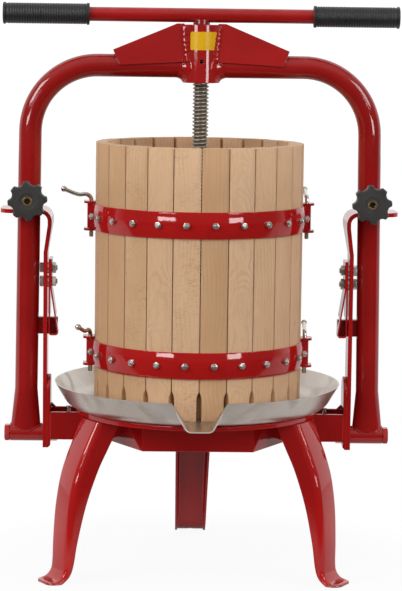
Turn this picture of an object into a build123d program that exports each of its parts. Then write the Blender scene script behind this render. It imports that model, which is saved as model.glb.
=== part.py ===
from build123d import *
from math import asin, cos, degrees, hypot, radians, sin, sqrt
import os

os.makedirs("parts", exist_ok=True)

# A tilting-yoke screw fruit press. Millimetres, +Z up, front towards -Y.
# The origin lies on the floor under the pressing screw's axis.

# Fits and clearances
running_fit = 0.1
free_gap = 0.3
butt_gap = 0.02

# Staves of the basket
stave_count = 24
basket_bore_radius = 125.0
stave_thickness = 16.0
basket_height = 360.0
stave_gap_outside = 1.0
stave_gap_inside = 3.5
relief_height = 44.0
relief_depth = 3.4
relief_runout = 18.0

# Hoops of the basket
hoop_height = 35.0
hoop_edge_thickness = 2.4
hoop_crown = 1.6
hoop_levels = {"lower": 74.0, "upper": 259.0}

# Clasps that join the two halves of each hoop
pin_diameter = 6.0
eye_wall = 2.4
ear_thickness = 3.2
ear_overlap = 0.6
ear_radius = 10.0
ear_length = 15.0
band_setback = 2.0
eye_leaf = 13.3
pin_tail = 9.0
pin_neck = 9.0
pin_bend_radius = 6.0
pin_handle_length = 27.5
pin_tip_length = 12.0
pin_tip_rise = 35.0
pin_ball_diameter = 8.5
pin_directions = {
    ("upper", "left"): 185.0,
    ("lower", "left"): 245.0,
    ("upper", "right"): 92.0,
    ("lower", "right"): 88.0,
}

# Bolts through staves and hoops
stave_bolt_diameter = 5.0
stave_bolt_head_diameter = 11.0
stave_bolt_head_height = 2.2
stave_nut_across_flats = 8.0
stave_nut_height = 4.0
stave_bolt_tip = 1.8

# Base rails, their arms and the round plate
rail_bottom = 178.0
rail_height = 38.0
rail_thickness = 5.0
rail_front_inset = 58.0
rail_panel_inset = 48.0
arm_half_gap = 20.5
plate_inset = 9.0
plate_thickness = 3.0
plate_rise = 3.9
plate_lip_thickness = 2.5
plate_lip_roll = 2.0

# Juice basin and its spout
basin_thickness = 1.5
basin_channel = 34.0
basin_corner_radius = 22.0
basin_flare = 20.0
basin_depth = 34.0
spout_overhang = 23.0
spout_floor_half_width = 15.0
spout_top_half_width = 37.0
spout_corner_radius = 10.0

# Legs: the web's outer curve and the flanges' inner edge, as reach past the shoulder and height
leg_thickness = 3.0
leg_top_width = 49.0
leg_foot_width = 40.0
leg_top_overhang = 2.0
leg_web_reach = [(27.2, 152.0), (37.2, 105.0), (41.3, 52.6), (42.5, 20.0)]
leg_edge_reach = [(-31.5, 208.0), (-18.0, 181.0), (-3.5, 152.0), (13.4, 105.0), (25.6, 52.6), (31.0, 22.0),
                  (36.5, 9.0)]
leg_heel_reach = 47.0
foot_tip_reach = 66.0
foot_corner_radius = 7.0
foot_thickness = 3.2
foot_hole_diameter = 9.0
foot_hole_reach = 56.0
leg_azimuths = {"front_left": 210.0, "front_right": 330.0, "rear": 90.0}

# End plates, straps and saddles
end_plate_gap = 5.0
end_plate_thickness = 5.0
end_plate_width = 44.0
end_plate_top = 265.0
strap_bottom = 166.0
strap_thickness = 5.5
strap_width = 40.0
strap_bend_radius = 13.0
joggle_bottom = 434.0
joggle_height = 38.0
joggle_offset = 6.0
saddle_height = 490.8
saddle_overhang = 40.0
saddle_front = 36.0
saddle_rear = 36.0
saddle_flare_height = 32.0
saddle_end_radius = 20.0
saddle_tab_width = 24.0
saddle_tab_corner = 4.8
saddle_tab_height = 29.0
saddle_tab_thickness = 5.0
end_chamfer = 3.5
arm_gusset_size = 6.0
arm_gusset_thickness = 4.0

# Catch tongues bolted to the straps
tongue_sheet = 2.2
tongue_width = 38.0
tongue_top = 425.0
tongue_knee = 385.0
tongue_bottom = 320.5
tongue_splay = 9.6
tongue_loop_radius = 4.0
catch_set_forward = 10.8
catch_bolt_diameter = 8.0
catch_bolt_heights = (394.0, 412.5)
catch_head_across_flats = 13.0
catch_head_height = 5.3
catch_nut_height = 5.5
catch_bolt_tip = 1.8
catch_washer_diameter = 16.0
catch_washer_thickness = 1.5

# Stop bolts between the arms, beside the basin
stop_bolt_stand_off = 10.0
stop_bolt_diameter = 6.0
stop_bolt_top = 221.0
stop_block_length = 16.0
stop_block_bottom = 192.0
stop_block_height = 10.0
stop_nut_across_flats = 10.0
stop_nut_height = 5.0

# Pivot of the yoke
pivot_height = 183.4
pivot_bolt_diameter = 12.0
sleeve_diameter = 23.0
sleeve_length = 45.0
pivot_head_across_flats = 21.0
pivot_head_height = 7.5
pivot_nut_height = 9.0
pivot_bolt_tip = 2.0

# Yoke
yoke_tube_diameter = 31.0
yoke_tube_wall = 2.6
yoke_strap_gap = 3.0
yoke_leg_splay = 5.0
yoke_top = 687.0
yoke_bend_radius = 91.0
flare_height = 62.0
flare_half_width = 21.0
flare_half_depth = 12.0
flare_seat = 3.0
housing_diameter = 50.0
housing_drop = 22.0
housing_rise = 56.0
oil_hole_diameter = 5.5
oil_hole_rise = 6.6
nut_diameter = 40.0
gusset_thickness = 3.0
gusset_reach = 119.0
gusset_end_rise = 6.0
gusset_end_lift = 1.0
gusset_end_slant = 9.0
gusset_apex_rise = 1.3
gusset_apex_distance = 33.0
gusset_root_lift = 7.0
gusset_ridge_half_width = 10.0
gusset_base_half_width = 18.0
lug_bottom = 320.0
lug_height = 23.0
lug_depth = 12.0
lug_set_back = 2.0
lug_overhang = 8.5
notch_margin = 4.0

# Screw, press foot and handle
screw_diameter = 22.0
screw_core_diameter = 17.0
screw_pitch = 5.0
screw_journal_diameter = 14.0
screw_neck_diameter = 23.0
foot_disc_diameter = 56.0
foot_disc_height = 10.0
foot_disc_chamfer = 1.25
foot_hub_diameter = 32.0
foot_hub_height = 20.0
foot_hub_top = 402.0
foot_floor = 5.0
ring_height = 2.0
ring_diameter = 20.0
bar_diameter = 19.3
bar_wall = 2.0
bar_seat = 0.85
bar_half_length = 263.5
neck_gap = 2.0
neck_height = 2.6
grip_diameter = 28.0
grip_flange_diameter = 29.6
grip_flange_length = 4.0
grip_length = 116.5
grip_end = 4.0
grip_rib_pitch = 3.5
grip_rib_depth = 0.6

# Clamp knobs
knob_height = 506.0
knob_diameter = 53.0
knob_lobes = 8
knob_valley_diameter = 43.5
knob_scallop_radius = 7.5
knob_lobe_rounding = 2.0
knob_first_valley = 28.0
knob_thickness = 17.0
knob_edge_radius = 1.7
knob_hub_diameter = 26.0
knob_hub_length = 5.0
knob_recess_diameter = 21.0
knob_recess_depth = 1.0
insert_set_back = 1.0
insert_diameter = 12.0
stud_diameter = 8.0
stud_recess = 6.0
pad_diameter = 15.0
pad_thickness = 3.0

# Press boards that lie in the basket
board_thickness = 22.0
board_clearance = 5.0
board_split_gap = 1.5
grip_slot_length = 70.0
grip_slot_width = 24.0
grip_slot_distance = 62.0

# Radii and distances that follow from the basket outwards
basket_radius = basket_bore_radius + stave_thickness
basin_floor_radius = basket_radius + basin_channel
basin_rim_radius = basin_floor_radius + basin_flare
spout_reach = basin_rim_radius + spout_overhang
plate_radius = basin_floor_radius - plate_inset
rail_front_distance = plate_radius - rail_front_inset
rail_panel_distance = plate_radius - rail_panel_inset
stop_bolt_distance = plate_radius + stop_bolt_stand_off
leg_top_radius = plate_radius + leg_top_overhang
leg_curve = [(leg_top_radius + reach, z) for reach, z in leg_web_reach]
leg_edge_curve = [(leg_top_radius + reach, z) for reach, z in leg_edge_reach]
leg_heel_radius = leg_top_radius + leg_heel_reach
foot_tip_radius = leg_top_radius + foot_tip_reach
foot_hole_radius = leg_top_radius + foot_hole_reach
end_plate_inner = basin_rim_radius + end_plate_gap
strap_inner = end_plate_inner + end_plate_thickness
strap_outer = strap_inner + strap_thickness
strap_middle = strap_inner + strap_thickness / 2
yoke_radius = yoke_tube_diameter / 2
yoke_half_span = strap_outer + yoke_strap_gap + yoke_radius
yoke_foot_half_span = yoke_half_span + yoke_leg_splay
saddle_end = yoke_half_span + saddle_overhang
lug_inner_end = end_plate_inner - lug_overhang
sleeve_start = strap_outer + free_gap
sleeve_end = sleeve_start + sleeve_length
tongue_face = strap_inner - catch_washer_thickness
tongue_thickness = 2 * tongue_sheet
catch_y = -catch_set_forward

# Heights over the yoke's tube
housing_bottom = yoke_top - housing_drop
housing_top = yoke_top + housing_rise
oil_hole_height = yoke_top + oil_hole_rise
gusset_end_top = yoke_top + yoke_radius + gusset_end_rise
gusset_end_bottom = yoke_top + gusset_end_lift
gusset_root_bottom = yoke_top + gusset_root_lift
gusset_apex = housing_top + gusset_apex_rise
neck_bottom = housing_top + neck_gap
bar_height = neck_bottom + bar_seat + bar_diameter / 2

# Heights, and sizes of the hoops and the housing
rail_top = rail_bottom + rail_height
plate_top = rail_top + plate_rise + plate_thickness
basin_rim = plate_top + basin_depth
basket_bottom = plate_top + basin_thickness
hoop_radius = basket_radius + butt_gap
hoop_outer = hoop_radius + hoop_edge_thickness + hoop_crown
eye_radius = pin_diameter / 2 + running_fit + eye_wall
pin_distance = basket_radius + free_gap + eye_radius
eye_half_height = hoop_height / 2 - ear_overlap - free_gap
stave_angle = 360 / stave_count
bolt_angles = [stave_angle * (k + 0.5) for k in range(stave_count)]
housing_radius = housing_diameter / 2
screw_bottom = foot_hub_top - foot_hub_height + foot_floor
sides = {"left": -1, "right": 1}


def finish(piece, name):
    """Label a finished piece and write it to its own file."""
    piece.part.label = name
    export_step(piece.part, f"parts/{name}.step")


def radial_plane(azimuth):
    """Upright plane through the screw axis: local x runs outwards, local y upwards."""
    out = Vector(cos(radians(azimuth)), sin(radians(azimuth)), 0)
    return Plane(origin=(0, 0, 0), x_dir=out, z_dir=(out.Y, -out.X, 0))


def facing_plane(azimuth):
    """Upright plane through the screw axis that faces outwards along the azimuth."""
    out = Vector(cos(radians(azimuth)), sin(radians(azimuth)), 0)
    return Plane(origin=(0, 0, 0), x_dir=(-out.Y, out.X, 0), z_dir=out)


def sideways(side, x, y=0.0, z=0.0):
    """Plane whose normal points outwards along X on one side of the press."""
    return Plane(origin=(side * x, y, z), x_dir=(0, side, 0), z_dir=(side, 0, 0))


def frontwards(x, y, z):
    """Plane whose normal points to the front, with local y upwards."""
    return Plane(origin=(x, y, z), x_dir=(1, 0, 0), z_dir=(0, -1, 0))


def hexagon(across_flats):
    """Regular hexagon of the given width across flats, in the current sketch."""
    RegularPolygon(across_flats / 2, 6, major_radius=False)


def yoke_leg_x(height):
    """Distance of the leaning yoke leg's axis from the screw axis, at a height."""
    lean = (yoke_foot_half_span - yoke_half_span) / (yoke_top - pivot_height - flare_height)
    return yoke_half_span + lean * (yoke_top - height)


def yoke_leg_plane(side, height):
    """Plane square to the yoke leg's axis at a height, with its normal upwards."""
    drop = yoke_top - pivot_height - flare_height
    up = Vector(side * (yoke_half_span - yoke_foot_half_span), 0, drop)
    return Plane(origin=(side * yoke_leg_x(height), 0, height), x_dir=(0, 1, 0), z_dir=up)


def rail_corner(distance, panel):
    """X of the corner where a straight run meets the slanted panel."""
    return (panel - distance * cos(radians(60))) / sin(radians(60))


# Legs
leg_top = rail_top - free_gap


def leg_outline(inset):
    """Points of the leg's outer curve, from the top to the ankle, moved inwards."""
    return [(leg_top_radius - inset, leg_top)] + [(r - inset, z) for r, z in leg_curve]


def leg_trapezoid(azimuth, inset):
    """Sketch of the leg seen from outside, tapering towards the foot."""
    with BuildSketch(facing_plane(azimuth)) as view:
        top, foot = leg_top_width / 2 - inset, leg_foot_width / 2 - inset
        Polygon((-top, leg_top), (-foot, 0), (foot, 0), (top, leg_top), align=None)
    return view.sketch


def make_leg(name, azimuth):
    """Pressed channel leg with its web outwards and a turned-out foot."""
    seat = rail_panel_distance if name != "rear" else rail_front_distance
    seat = seat + butt_gap
    ankle_radius, ankle_height = leg_curve[-1]
    with BuildPart() as hollow:
        with BuildSketch(radial_plane(azimuth)):
            with BuildLine():
                web = Spline(*leg_outline(leg_thickness))
                sole = (ankle_radius - leg_thickness + ankle_height, 0)
                instep = TangentArc(web @ 1, sole, tangent=web % 1)
                Polyline(instep @ 1, (0, 0), (0, leg_top), web @ 0)
            make_face()
        extrude(amount=leg_top_width, both=True)
        add(extrude(leg_trapezoid(azimuth, leg_thickness), foot_tip_radius, mode=Mode.PRIVATE),
            mode=Mode.INTERSECT)
    with BuildPart() as leg:
        with BuildSketch(radial_plane(azimuth)):
            with BuildLine():
                web = Spline(*leg_outline(0))
                toe = (ankle_radius + ankle_height - foot_thickness, foot_thickness)
                instep = TangentArc(web @ 1, toe, tangent=web % 1)
                flange = Spline(*leg_edge_curve, (leg_heel_radius, 0))
                Polyline(instep @ 1, (foot_tip_radius, foot_thickness), (foot_tip_radius, 0), flange @ 1)
                Polyline(flange @ 0, (seat, leg_edge_curve[0][1]), (seat, leg_top), web @ 0)
            make_face()
        extrude(amount=leg_top_width, both=True)
        add(extrude(leg_trapezoid(azimuth, 0), foot_tip_radius, mode=Mode.PRIVATE),
            mode=Mode.INTERSECT)
        add(hollow.part, mode=Mode.SUBTRACT)
        out = radial_plane(azimuth).x_dir
        tip = leg.faces().sort_by(lambda face: face.center().dot(out))[-1]
        fillet(tip.edges().sort_by(SortBy.LENGTH)[:2], foot_corner_radius)
        with Locations(out * foot_hole_radius):
            Cylinder(foot_hole_diameter / 2, 2 * leg_curve[-1][1], mode=Mode.SUBTRACT)
    finish(leg, f"leg_{name}")


for leg_name, leg_azimuth in leg_azimuths.items():
    make_leg(leg_name, leg_azimuth)


# Base rails: strips on edge that run from one end plate to the other
def make_rail(name, facing):
    """One bent rail; facing is -1 for the front rail and 1 for the rear rail."""
    arm_outer = arm_half_gap + rail_thickness
    front_inner = rail_front_distance - rail_thickness
    panel_inner = rail_panel_distance - rail_thickness
    end = end_plate_inner - butt_gap
    outside = [
        (end, arm_outer),
        (rail_corner(arm_outer, rail_panel_distance), arm_outer),
        (rail_corner(rail_front_distance, rail_panel_distance), rail_front_distance),
    ]
    inside = [
        (rail_corner(front_inner, panel_inner), front_inner),
        (rail_corner(arm_half_gap, panel_inner), arm_half_gap),
        (end, arm_half_gap),
    ]
    half = outside + [(-x, y) for x, y in reversed(outside)]
    back = [(-x, y) for x, y in reversed(inside)] + inside
    with BuildPart() as rail:
        with BuildSketch(Plane.XY.offset(rail_bottom)):
            Polygon(*[(x, facing * y) for x, y in half + back], align=None)
        extrude(amount=rail_height)
    finish(rail, name)


make_rail("rail_front", -1)
make_rail("rail_rear", 1)

# Round plate that carries the basin; its turned-down lip rests on the arms
with BuildPart() as base_plate:
    lip = plate_radius - plate_lip_thickness
    lip_bottom = rail_top + butt_gap
    plate_bottom = plate_top - plate_thickness
    with BuildSketch(Plane.XZ):
        Polygon((0, plate_bottom), (lip, plate_bottom), (lip, lip_bottom), (plate_radius, lip_bottom),
                (plate_radius, plate_top), (0, plate_top), align=None)
    revolve(axis=Axis.Z)
    rolled = base_plate.edges().filter_by(GeomType.CIRCLE).group_by(Axis.Z)[-1]
    fillet(rolled, min(plate_lip_roll, plate_lip_thickness - free_gap))
finish(base_plate, "base_plate")


# End plates that close the arms
def make_end_plate(name, side):
    """Upright plate with a rounded top that carries the strap and the pivot bolt."""
    half = end_plate_width / 2
    with BuildPart() as plate:
        with BuildSketch(sideways(side, end_plate_inner)):
            with Locations((0, (strap_bottom + end_plate_top - half) / 2)):
                Rectangle(end_plate_width, end_plate_top - half - strap_bottom)
            with Locations((0, end_plate_top - half)):
                Circle(half)
            with Locations((0, pivot_height)):
                Circle(pivot_bolt_diameter / 2 + running_fit, mode=Mode.SUBTRACT)
        extrude(amount=end_plate_thickness)
        inner_bottom = plate.edges().filter_by(Axis.Y).group_by(Axis.Z)[0]
        chamfer(inner_bottom.sort_by(Axis.X)[0 if side > 0 else -1], end_chamfer)
    finish(plate, name)


# Straps: flat bars that rise beside the yoke and end in a saddle with a slot and a tab
def make_strap(name, side):
    """Flat bar, joggled inwards near its top and bent outwards over the yoke's leg."""
    half = strap_width / 2
    joggle_top = joggle_bottom + joggle_height
    clamp_x = side * yoke_leg_x(knob_height)
    with BuildPart() as strap:
        with BuildLine(Plane.XZ):
            FilletPolyline(
                (side * strap_middle, strap_bottom),
                (side * strap_middle, joggle_bottom),
                (side * (strap_middle - joggle_offset), joggle_top),
                (side * (strap_middle - joggle_offset), saddle_height),
                (side * saddle_end, saddle_height),
                radius=strap_bend_radius,
            )
        with BuildSketch(Plane.XY.offset(strap_bottom)):
            with Locations((side * strap_middle, (saddle_rear - saddle_front) / 2)):
                Rectangle(strap_thickness, saddle_front + saddle_rear)
        sweep()
        outer_end = strap.edges().filter_by(Axis.Z).group_by(Axis.X)[-1 if side > 0 else 0]
        fillet(outer_end, saddle_end_radius)
        # The upright run is narrower than the saddle
        flare_top = saddle_height - strap_bend_radius - strap_thickness
        with BuildSketch(Plane.YZ):
            for reach, way in ((saddle_front, -1), (saddle_rear, 1)):
                Polygon((way * 2 * reach, 0), (way * half, 0), (way * half, flare_top - saddle_flare_height),
                        (way * reach, flare_top), (way * 2 * reach, flare_top), align=None)
        extrude(amount=2 * saddle_end, both=True, mode=Mode.SUBTRACT)
        # Slot for the yoke's leg, open to the rear
        with BuildSketch(Plane.XY.offset(saddle_height)):
            with Locations((clamp_x, 0)):
                Circle(yoke_radius + 2 * free_gap)
            with Locations((clamp_x, saddle_rear)):
                Rectangle(2 * yoke_radius + 4 * free_gap, 2 * saddle_rear)
        extrude(amount=strap_thickness, both=True, mode=Mode.SUBTRACT)
        # Tab turned up from the saddle's front edge
        tab_middle = saddle_height + saddle_tab_height / 2
        with BuildSketch(frontwards(clamp_x, saddle_tab_thickness - saddle_front, tab_middle)):
            RectangleRounded(saddle_tab_width, saddle_tab_height, saddle_tab_corner)
        extrude(amount=saddle_tab_thickness)
        with BuildSketch(frontwards(clamp_x, 0, knob_height)):
            Circle(stud_diameter / 2 + running_fit)
        extrude(amount=2 * saddle_front, mode=Mode.SUBTRACT)
        # Holes for the pivot bolt and the catch bolts, and the notch for the yoke's lug
        with BuildSketch(sideways(side, strap_inner - strap_thickness)):
            with Locations((0, pivot_height)):
                Circle(pivot_bolt_diameter / 2 + running_fit)
            with Locations(*[(side * catch_y, z) for z in catch_bolt_heights]):
                Circle(catch_bolt_diameter / 2 + running_fit)
            with Locations((side * (lug_set_back - 2 * free_gap + strap_width / 2),
                            lug_bottom + lug_height / 2)):
                Rectangle(strap_width, lug_height + 2 * notch_margin)
        extrude(amount=3 * strap_thickness, mode=Mode.SUBTRACT)
    finish(strap, name)


# Catch tongues: strips folded into narrow loops beside the lugs
def make_tongue(name, side):
    """Folded strip, bolted at its top, with one leg along the strap and one that splays inwards."""
    outer = tongue_face
    inner = tongue_face - tongue_thickness
    with BuildPart() as tongue:
        with BuildSketch(frontwards(0, tongue_width / 2, 0)) as loop:
            Polygon(
                (side * outer, tongue_top),
                (side * inner, tongue_top),
                (side * inner, tongue_knee),
                (side * (inner - tongue_splay), tongue_bottom),
                (side * outer, tongue_bottom),
                align=None,
            )
            Polygon(
                (side * (outer - tongue_sheet), tongue_knee),
                (side * (inner + tongue_sheet - tongue_splay), tongue_bottom + tongue_sheet),
                (side * (outer - tongue_sheet), tongue_bottom + tongue_sheet),
                align=None,
                mode=Mode.SUBTRACT,
            )
            fillet(loop.vertices().group_by(Axis.Y)[1], tongue_loop_radius - tongue_sheet)
            fillet(loop.vertices().group_by(Axis.Y)[0], tongue_loop_radius)
        extrude(amount=tongue_width)
        # Holes for the catch bolts, and the notch for the yoke's lug
        with BuildSketch(sideways(side, inner - 2 * tongue_splay)):
            with Locations(*[(side * catch_y, z) for z in catch_bolt_heights]):
                Circle(catch_bolt_diameter / 2 + running_fit)
            with Locations((side * (lug_set_back - 2 * free_gap + tongue_width / 2),
                            lug_bottom + lug_height / 2)):
                Rectangle(tongue_width, lug_height + 2 * notch_margin)
        extrude(amount=4 * tongue_splay, mode=Mode.SUBTRACT)
    finish(tongue, name)


for side_name, side_sign in sides.items():
    make_end_plate(f"end_plate_{side_name}", side_sign)
    make_strap(f"strap_{side_name}", side_sign)
    make_tongue(f"catch_tongue_{side_name}", side_sign)

# Corner gussets between the rear arm and the end plates
with BuildPart() as arm_gussets:
    for side_sign in sides.values():
        corner = side_sign * (end_plate_inner - butt_gap)
        base = rail_top + butt_gap
        with BuildSketch(frontwards(0, arm_half_gap + arm_gusset_thickness, 0)):
            Polygon((corner, base), (corner, base + arm_gusset_size),
                    (corner - side_sign * arm_gusset_size, base), align=None)
        extrude(amount=arm_gusset_thickness)
finish(arm_gussets, "arm_gussets")

# Bolts, nuts and washers of the catch tongues
with BuildPart() as catch_bolts:
    for side_sign in sides.values():
        for height in catch_bolt_heights:
            head_plane = sideways(side_sign, strap_outer + butt_gap, catch_y, height)
            tail = tongue_face - tongue_thickness - catch_nut_height - 2 * butt_gap
            with BuildSketch(head_plane):
                hexagon(catch_head_across_flats)
            extrude(amount=catch_head_height)
            with BuildSketch(head_plane):
                Circle(catch_bolt_diameter / 2)
            extrude(amount=-(strap_outer + butt_gap - tail + catch_bolt_tip))
finish(catch_bolts, "catch_bolts")

with BuildPart() as catch_nuts:
    for side_sign in sides.values():
        for height in catch_bolt_heights:
            face = tongue_face - tongue_thickness - butt_gap
            with BuildSketch(sideways(side_sign, face, catch_y, height)):
                hexagon(catch_head_across_flats)
                Circle(catch_bolt_diameter / 2 + running_fit, mode=Mode.SUBTRACT)
            extrude(amount=-catch_nut_height)
finish(catch_nuts, "catch_nuts")

with BuildPart() as catch_washers:
    for side_sign in sides.values():
        for height in catch_bolt_heights:
            with BuildSketch(sideways(side_sign, tongue_face + butt_gap, catch_y, height)):
                Circle(catch_washer_diameter / 2)
                Circle(catch_bolt_diameter / 2 + running_fit, mode=Mode.SUBTRACT)
            extrude(amount=catch_washer_thickness - 2 * butt_gap)
finish(catch_washers, "catch_washers")

# Blocks and stop bolts between the arms
with BuildPart() as stop_blocks:
    for side_sign in sides.values():
        with BuildSketch(Plane.XY.offset(stop_block_bottom)):
            with Locations((side_sign * stop_bolt_distance, 0)):
                Rectangle(stop_block_length, 2 * (arm_half_gap - butt_gap))
                Circle(stop_bolt_diameter / 2 + running_fit, mode=Mode.SUBTRACT)
        extrude(amount=stop_block_height)
finish(stop_blocks, "stop_blocks")

with BuildPart() as stop_bolts:
    head_top = stop_block_bottom - butt_gap
    for side_sign in sides.values():
        with BuildSketch(Plane.XY.offset(head_top)):
            with Locations((side_sign * stop_bolt_distance, 0)):
                hexagon(stop_nut_across_flats)
        extrude(amount=-stop_nut_height)
        with BuildSketch(Plane.XY.offset(head_top)):
            with Locations((side_sign * stop_bolt_distance, 0)):
                Circle(stop_bolt_diameter / 2)
        extrude(amount=stop_bolt_top - head_top)
finish(stop_bolts, "stop_bolts")

with BuildPart() as stop_nuts:
    for side_sign in sides.values():
        with BuildSketch(Plane.XY.offset(stop_block_bottom + stop_block_height + butt_gap)):
            with Locations((side_sign * stop_bolt_distance, 0)):
                hexagon(stop_nut_across_flats)
                Circle(stop_bolt_diameter / 2 + running_fit, mode=Mode.SUBTRACT)
        extrude(amount=stop_nut_height)
finish(stop_nuts, "stop_nuts")

# Pivot bolts and their nuts
with BuildPart() as pivot_bolts:
    for side_sign in sides.values():
        head_plane = sideways(side_sign, sleeve_end + free_gap, 0, pivot_height)
        tail = end_plate_inner - butt_gap - pivot_nut_height - pivot_bolt_tip
        with BuildSketch(head_plane):
            hexagon(pivot_head_across_flats)
        extrude(amount=pivot_head_height)
        with BuildSketch(head_plane):
            Circle(pivot_bolt_diameter / 2)
        extrude(amount=-(sleeve_end + free_gap - tail))
finish(pivot_bolts, "pivot_bolts")

with BuildPart() as pivot_nuts:
    for side_sign in sides.values():
        with BuildSketch(sideways(side_sign, end_plate_inner - butt_gap, 0, pivot_height)):
            hexagon(pivot_head_across_flats)
            Circle(pivot_bolt_diameter / 2 + running_fit, mode=Mode.SUBTRACT)
        extrude(amount=-pivot_nut_height)
finish(pivot_nuts, "pivot_nuts")


# Yoke: two bent legs welded to the nut housing
def make_yoke_leg(name, side):
    """Half of the arch, from the housing down to the flared end on its sleeve."""
    flare_top = pivot_height + flare_height
    flare_bottom = pivot_height + flare_seat
    with BuildPart() as leg:
        with BuildLine(Plane.XZ):
            FilletPolyline((0, yoke_top), (side * yoke_half_span, yoke_top),
                           (side * yoke_foot_half_span, flare_top), radius=yoke_bend_radius)
        with BuildSketch(sideways(side, 0, 0, yoke_top)):
            Circle(yoke_radius)
            Circle(yoke_radius - yoke_tube_wall, mode=Mode.SUBTRACT)
        sweep()
        with Locations((0, 0, (housing_bottom + housing_top) / 2)):
            Cylinder(housing_radius + butt_gap, 2 * (housing_top - housing_bottom), mode=Mode.SUBTRACT)
        for wall, mode in ((0.0, Mode.ADD), (yoke_tube_wall, Mode.SUBTRACT)):
            with BuildSketch(yoke_leg_plane(side, flare_top)):
                Circle(yoke_radius - wall)
            with BuildSketch(yoke_leg_plane(side, flare_bottom)):
                Ellipse(flare_half_depth - wall, flare_half_width - wall)
            loft(mode=mode)
        with BuildSketch(sideways(side, 0, 0, pivot_height)):
            Circle(sleeve_diameter / 2 + butt_gap)
        extrude(amount=2 * yoke_half_span, mode=Mode.SUBTRACT)
    finish(leg, name)


for side_name, side_sign in sides.items():
    make_yoke_leg(f"yoke_leg_{side_name}", side_sign)

with BuildPart() as pivot_sleeves:
    for side_sign in sides.values():
        with BuildSketch(sideways(side_sign, sleeve_start, 0, pivot_height)):
            Circle(sleeve_diameter / 2)
            Circle(pivot_bolt_diameter / 2 + running_fit, mode=Mode.SUBTRACT)
        extrude(amount=sleeve_length)
finish(pivot_sleeves, "pivot_sleeves")

with BuildPart() as yoke_lugs:
    for side_sign in sides.values():
        reach = yoke_half_span - lug_inner_end
        with BuildSketch(Plane.XY.offset(lug_bottom)):
            with Locations((side_sign * (lug_inner_end + reach / 2), lug_set_back + lug_depth / 2)):
                Rectangle(reach, lug_depth)
        extrude(amount=lug_height)
        with BuildSketch(yoke_leg_plane(side_sign, lug_bottom)):
            Circle(yoke_radius + butt_gap)
        extrude(amount=2 * lug_height, both=True, mode=Mode.SUBTRACT)
finish(yoke_lugs, "yoke_lugs")

with BuildPart() as housing:
    with BuildSketch(Plane.XY.offset(housing_bottom)):
        Circle(housing_radius)
        Circle(nut_diameter / 2 + butt_gap, mode=Mode.SUBTRACT)
    extrude(amount=housing_top - housing_bottom)
    with BuildSketch(frontwards(0, 0, oil_hole_height)):
        Circle(oil_hole_diameter / 2)
    extrude(amount=housing_diameter, mode=Mode.SUBTRACT)
finish(housing, "nut_housing")

with BuildPart() as screw_nut:
    with BuildSketch(Plane.XY.offset(housing_bottom)):
        Circle(nut_diameter / 2)
        Circle(screw_diameter / 2 + running_fit, mode=Mode.SUBTRACT)
    extrude(amount=housing_top - housing_bottom)
    with BuildSketch(frontwards(0, 0, oil_hole_height)):
        Circle(oil_hole_diameter / 2)
    extrude(amount=housing_diameter, mode=Mode.SUBTRACT)
finish(screw_nut, "screw_nut")


def gusset_block(side, inset):
    """Solid under the gusset's faces, moved inwards by the sheet."""
    slope = (gusset_apex - gusset_end_top) / (gusset_reach - gusset_apex_distance)
    roof = gusset_apex - inset
    far = gusset_reach + gusset_end_slant if inset else gusset_reach
    end_slant = 0 if inset else gusset_end_slant
    sag = inset * (hypot(1, slope) - 1)
    low = housing_bottom if inset else gusset_end_bottom
    root_low = housing_bottom if inset else gusset_root_bottom
    lean = (gusset_base_half_width - gusset_ridge_half_width) / (gusset_apex - gusset_end_bottom)
    cheek = inset * hypot(1, lean)
    ridge = gusset_ridge_half_width + lean * inset - cheek
    foot = ridge + lean * (roof - housing_bottom)
    with BuildPart() as block:
        with BuildSketch(Plane.XZ):
            Polygon((0, root_low), (0, roof), (side * (gusset_apex_distance - sag), roof),
                    (side * far, roof - slope * (far - gusset_apex_distance) - sag),
                    (side * (far - end_slant), low), align=None)
        extrude(amount=housing_diameter, both=True)
        with BuildSketch(Plane.YZ):
            Polygon((-foot, housing_bottom), (-ridge, roof), (ridge, roof), (foot, housing_bottom),
                    align=None)
        extrude(amount=2 * gusset_reach, both=True, mode=Mode.INTERSECT)
    return block.part


def make_gusset(name, side):
    """Folded sheet that straddles the yoke's tube beside the nut housing."""
    folded, hollow = gusset_block(side, 0), gusset_block(side, gusset_thickness)
    with BuildPart() as gusset:
        add(folded)
        add(hollow, mode=Mode.SUBTRACT)
        with Locations((0, 0, yoke_top)):
            Cylinder(housing_radius + butt_gap, 4 * housing_diameter, mode=Mode.SUBTRACT)
        with BuildSketch(sideways(side, 0, 0, yoke_top)):
            Circle(yoke_radius + butt_gap)
        extrude(amount=yoke_half_span, mode=Mode.SUBTRACT)
    finish(gusset, name)


for side_name, side_sign in sides.items():
    make_gusset(f"gusset_{side_name}", side_sign)

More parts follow.
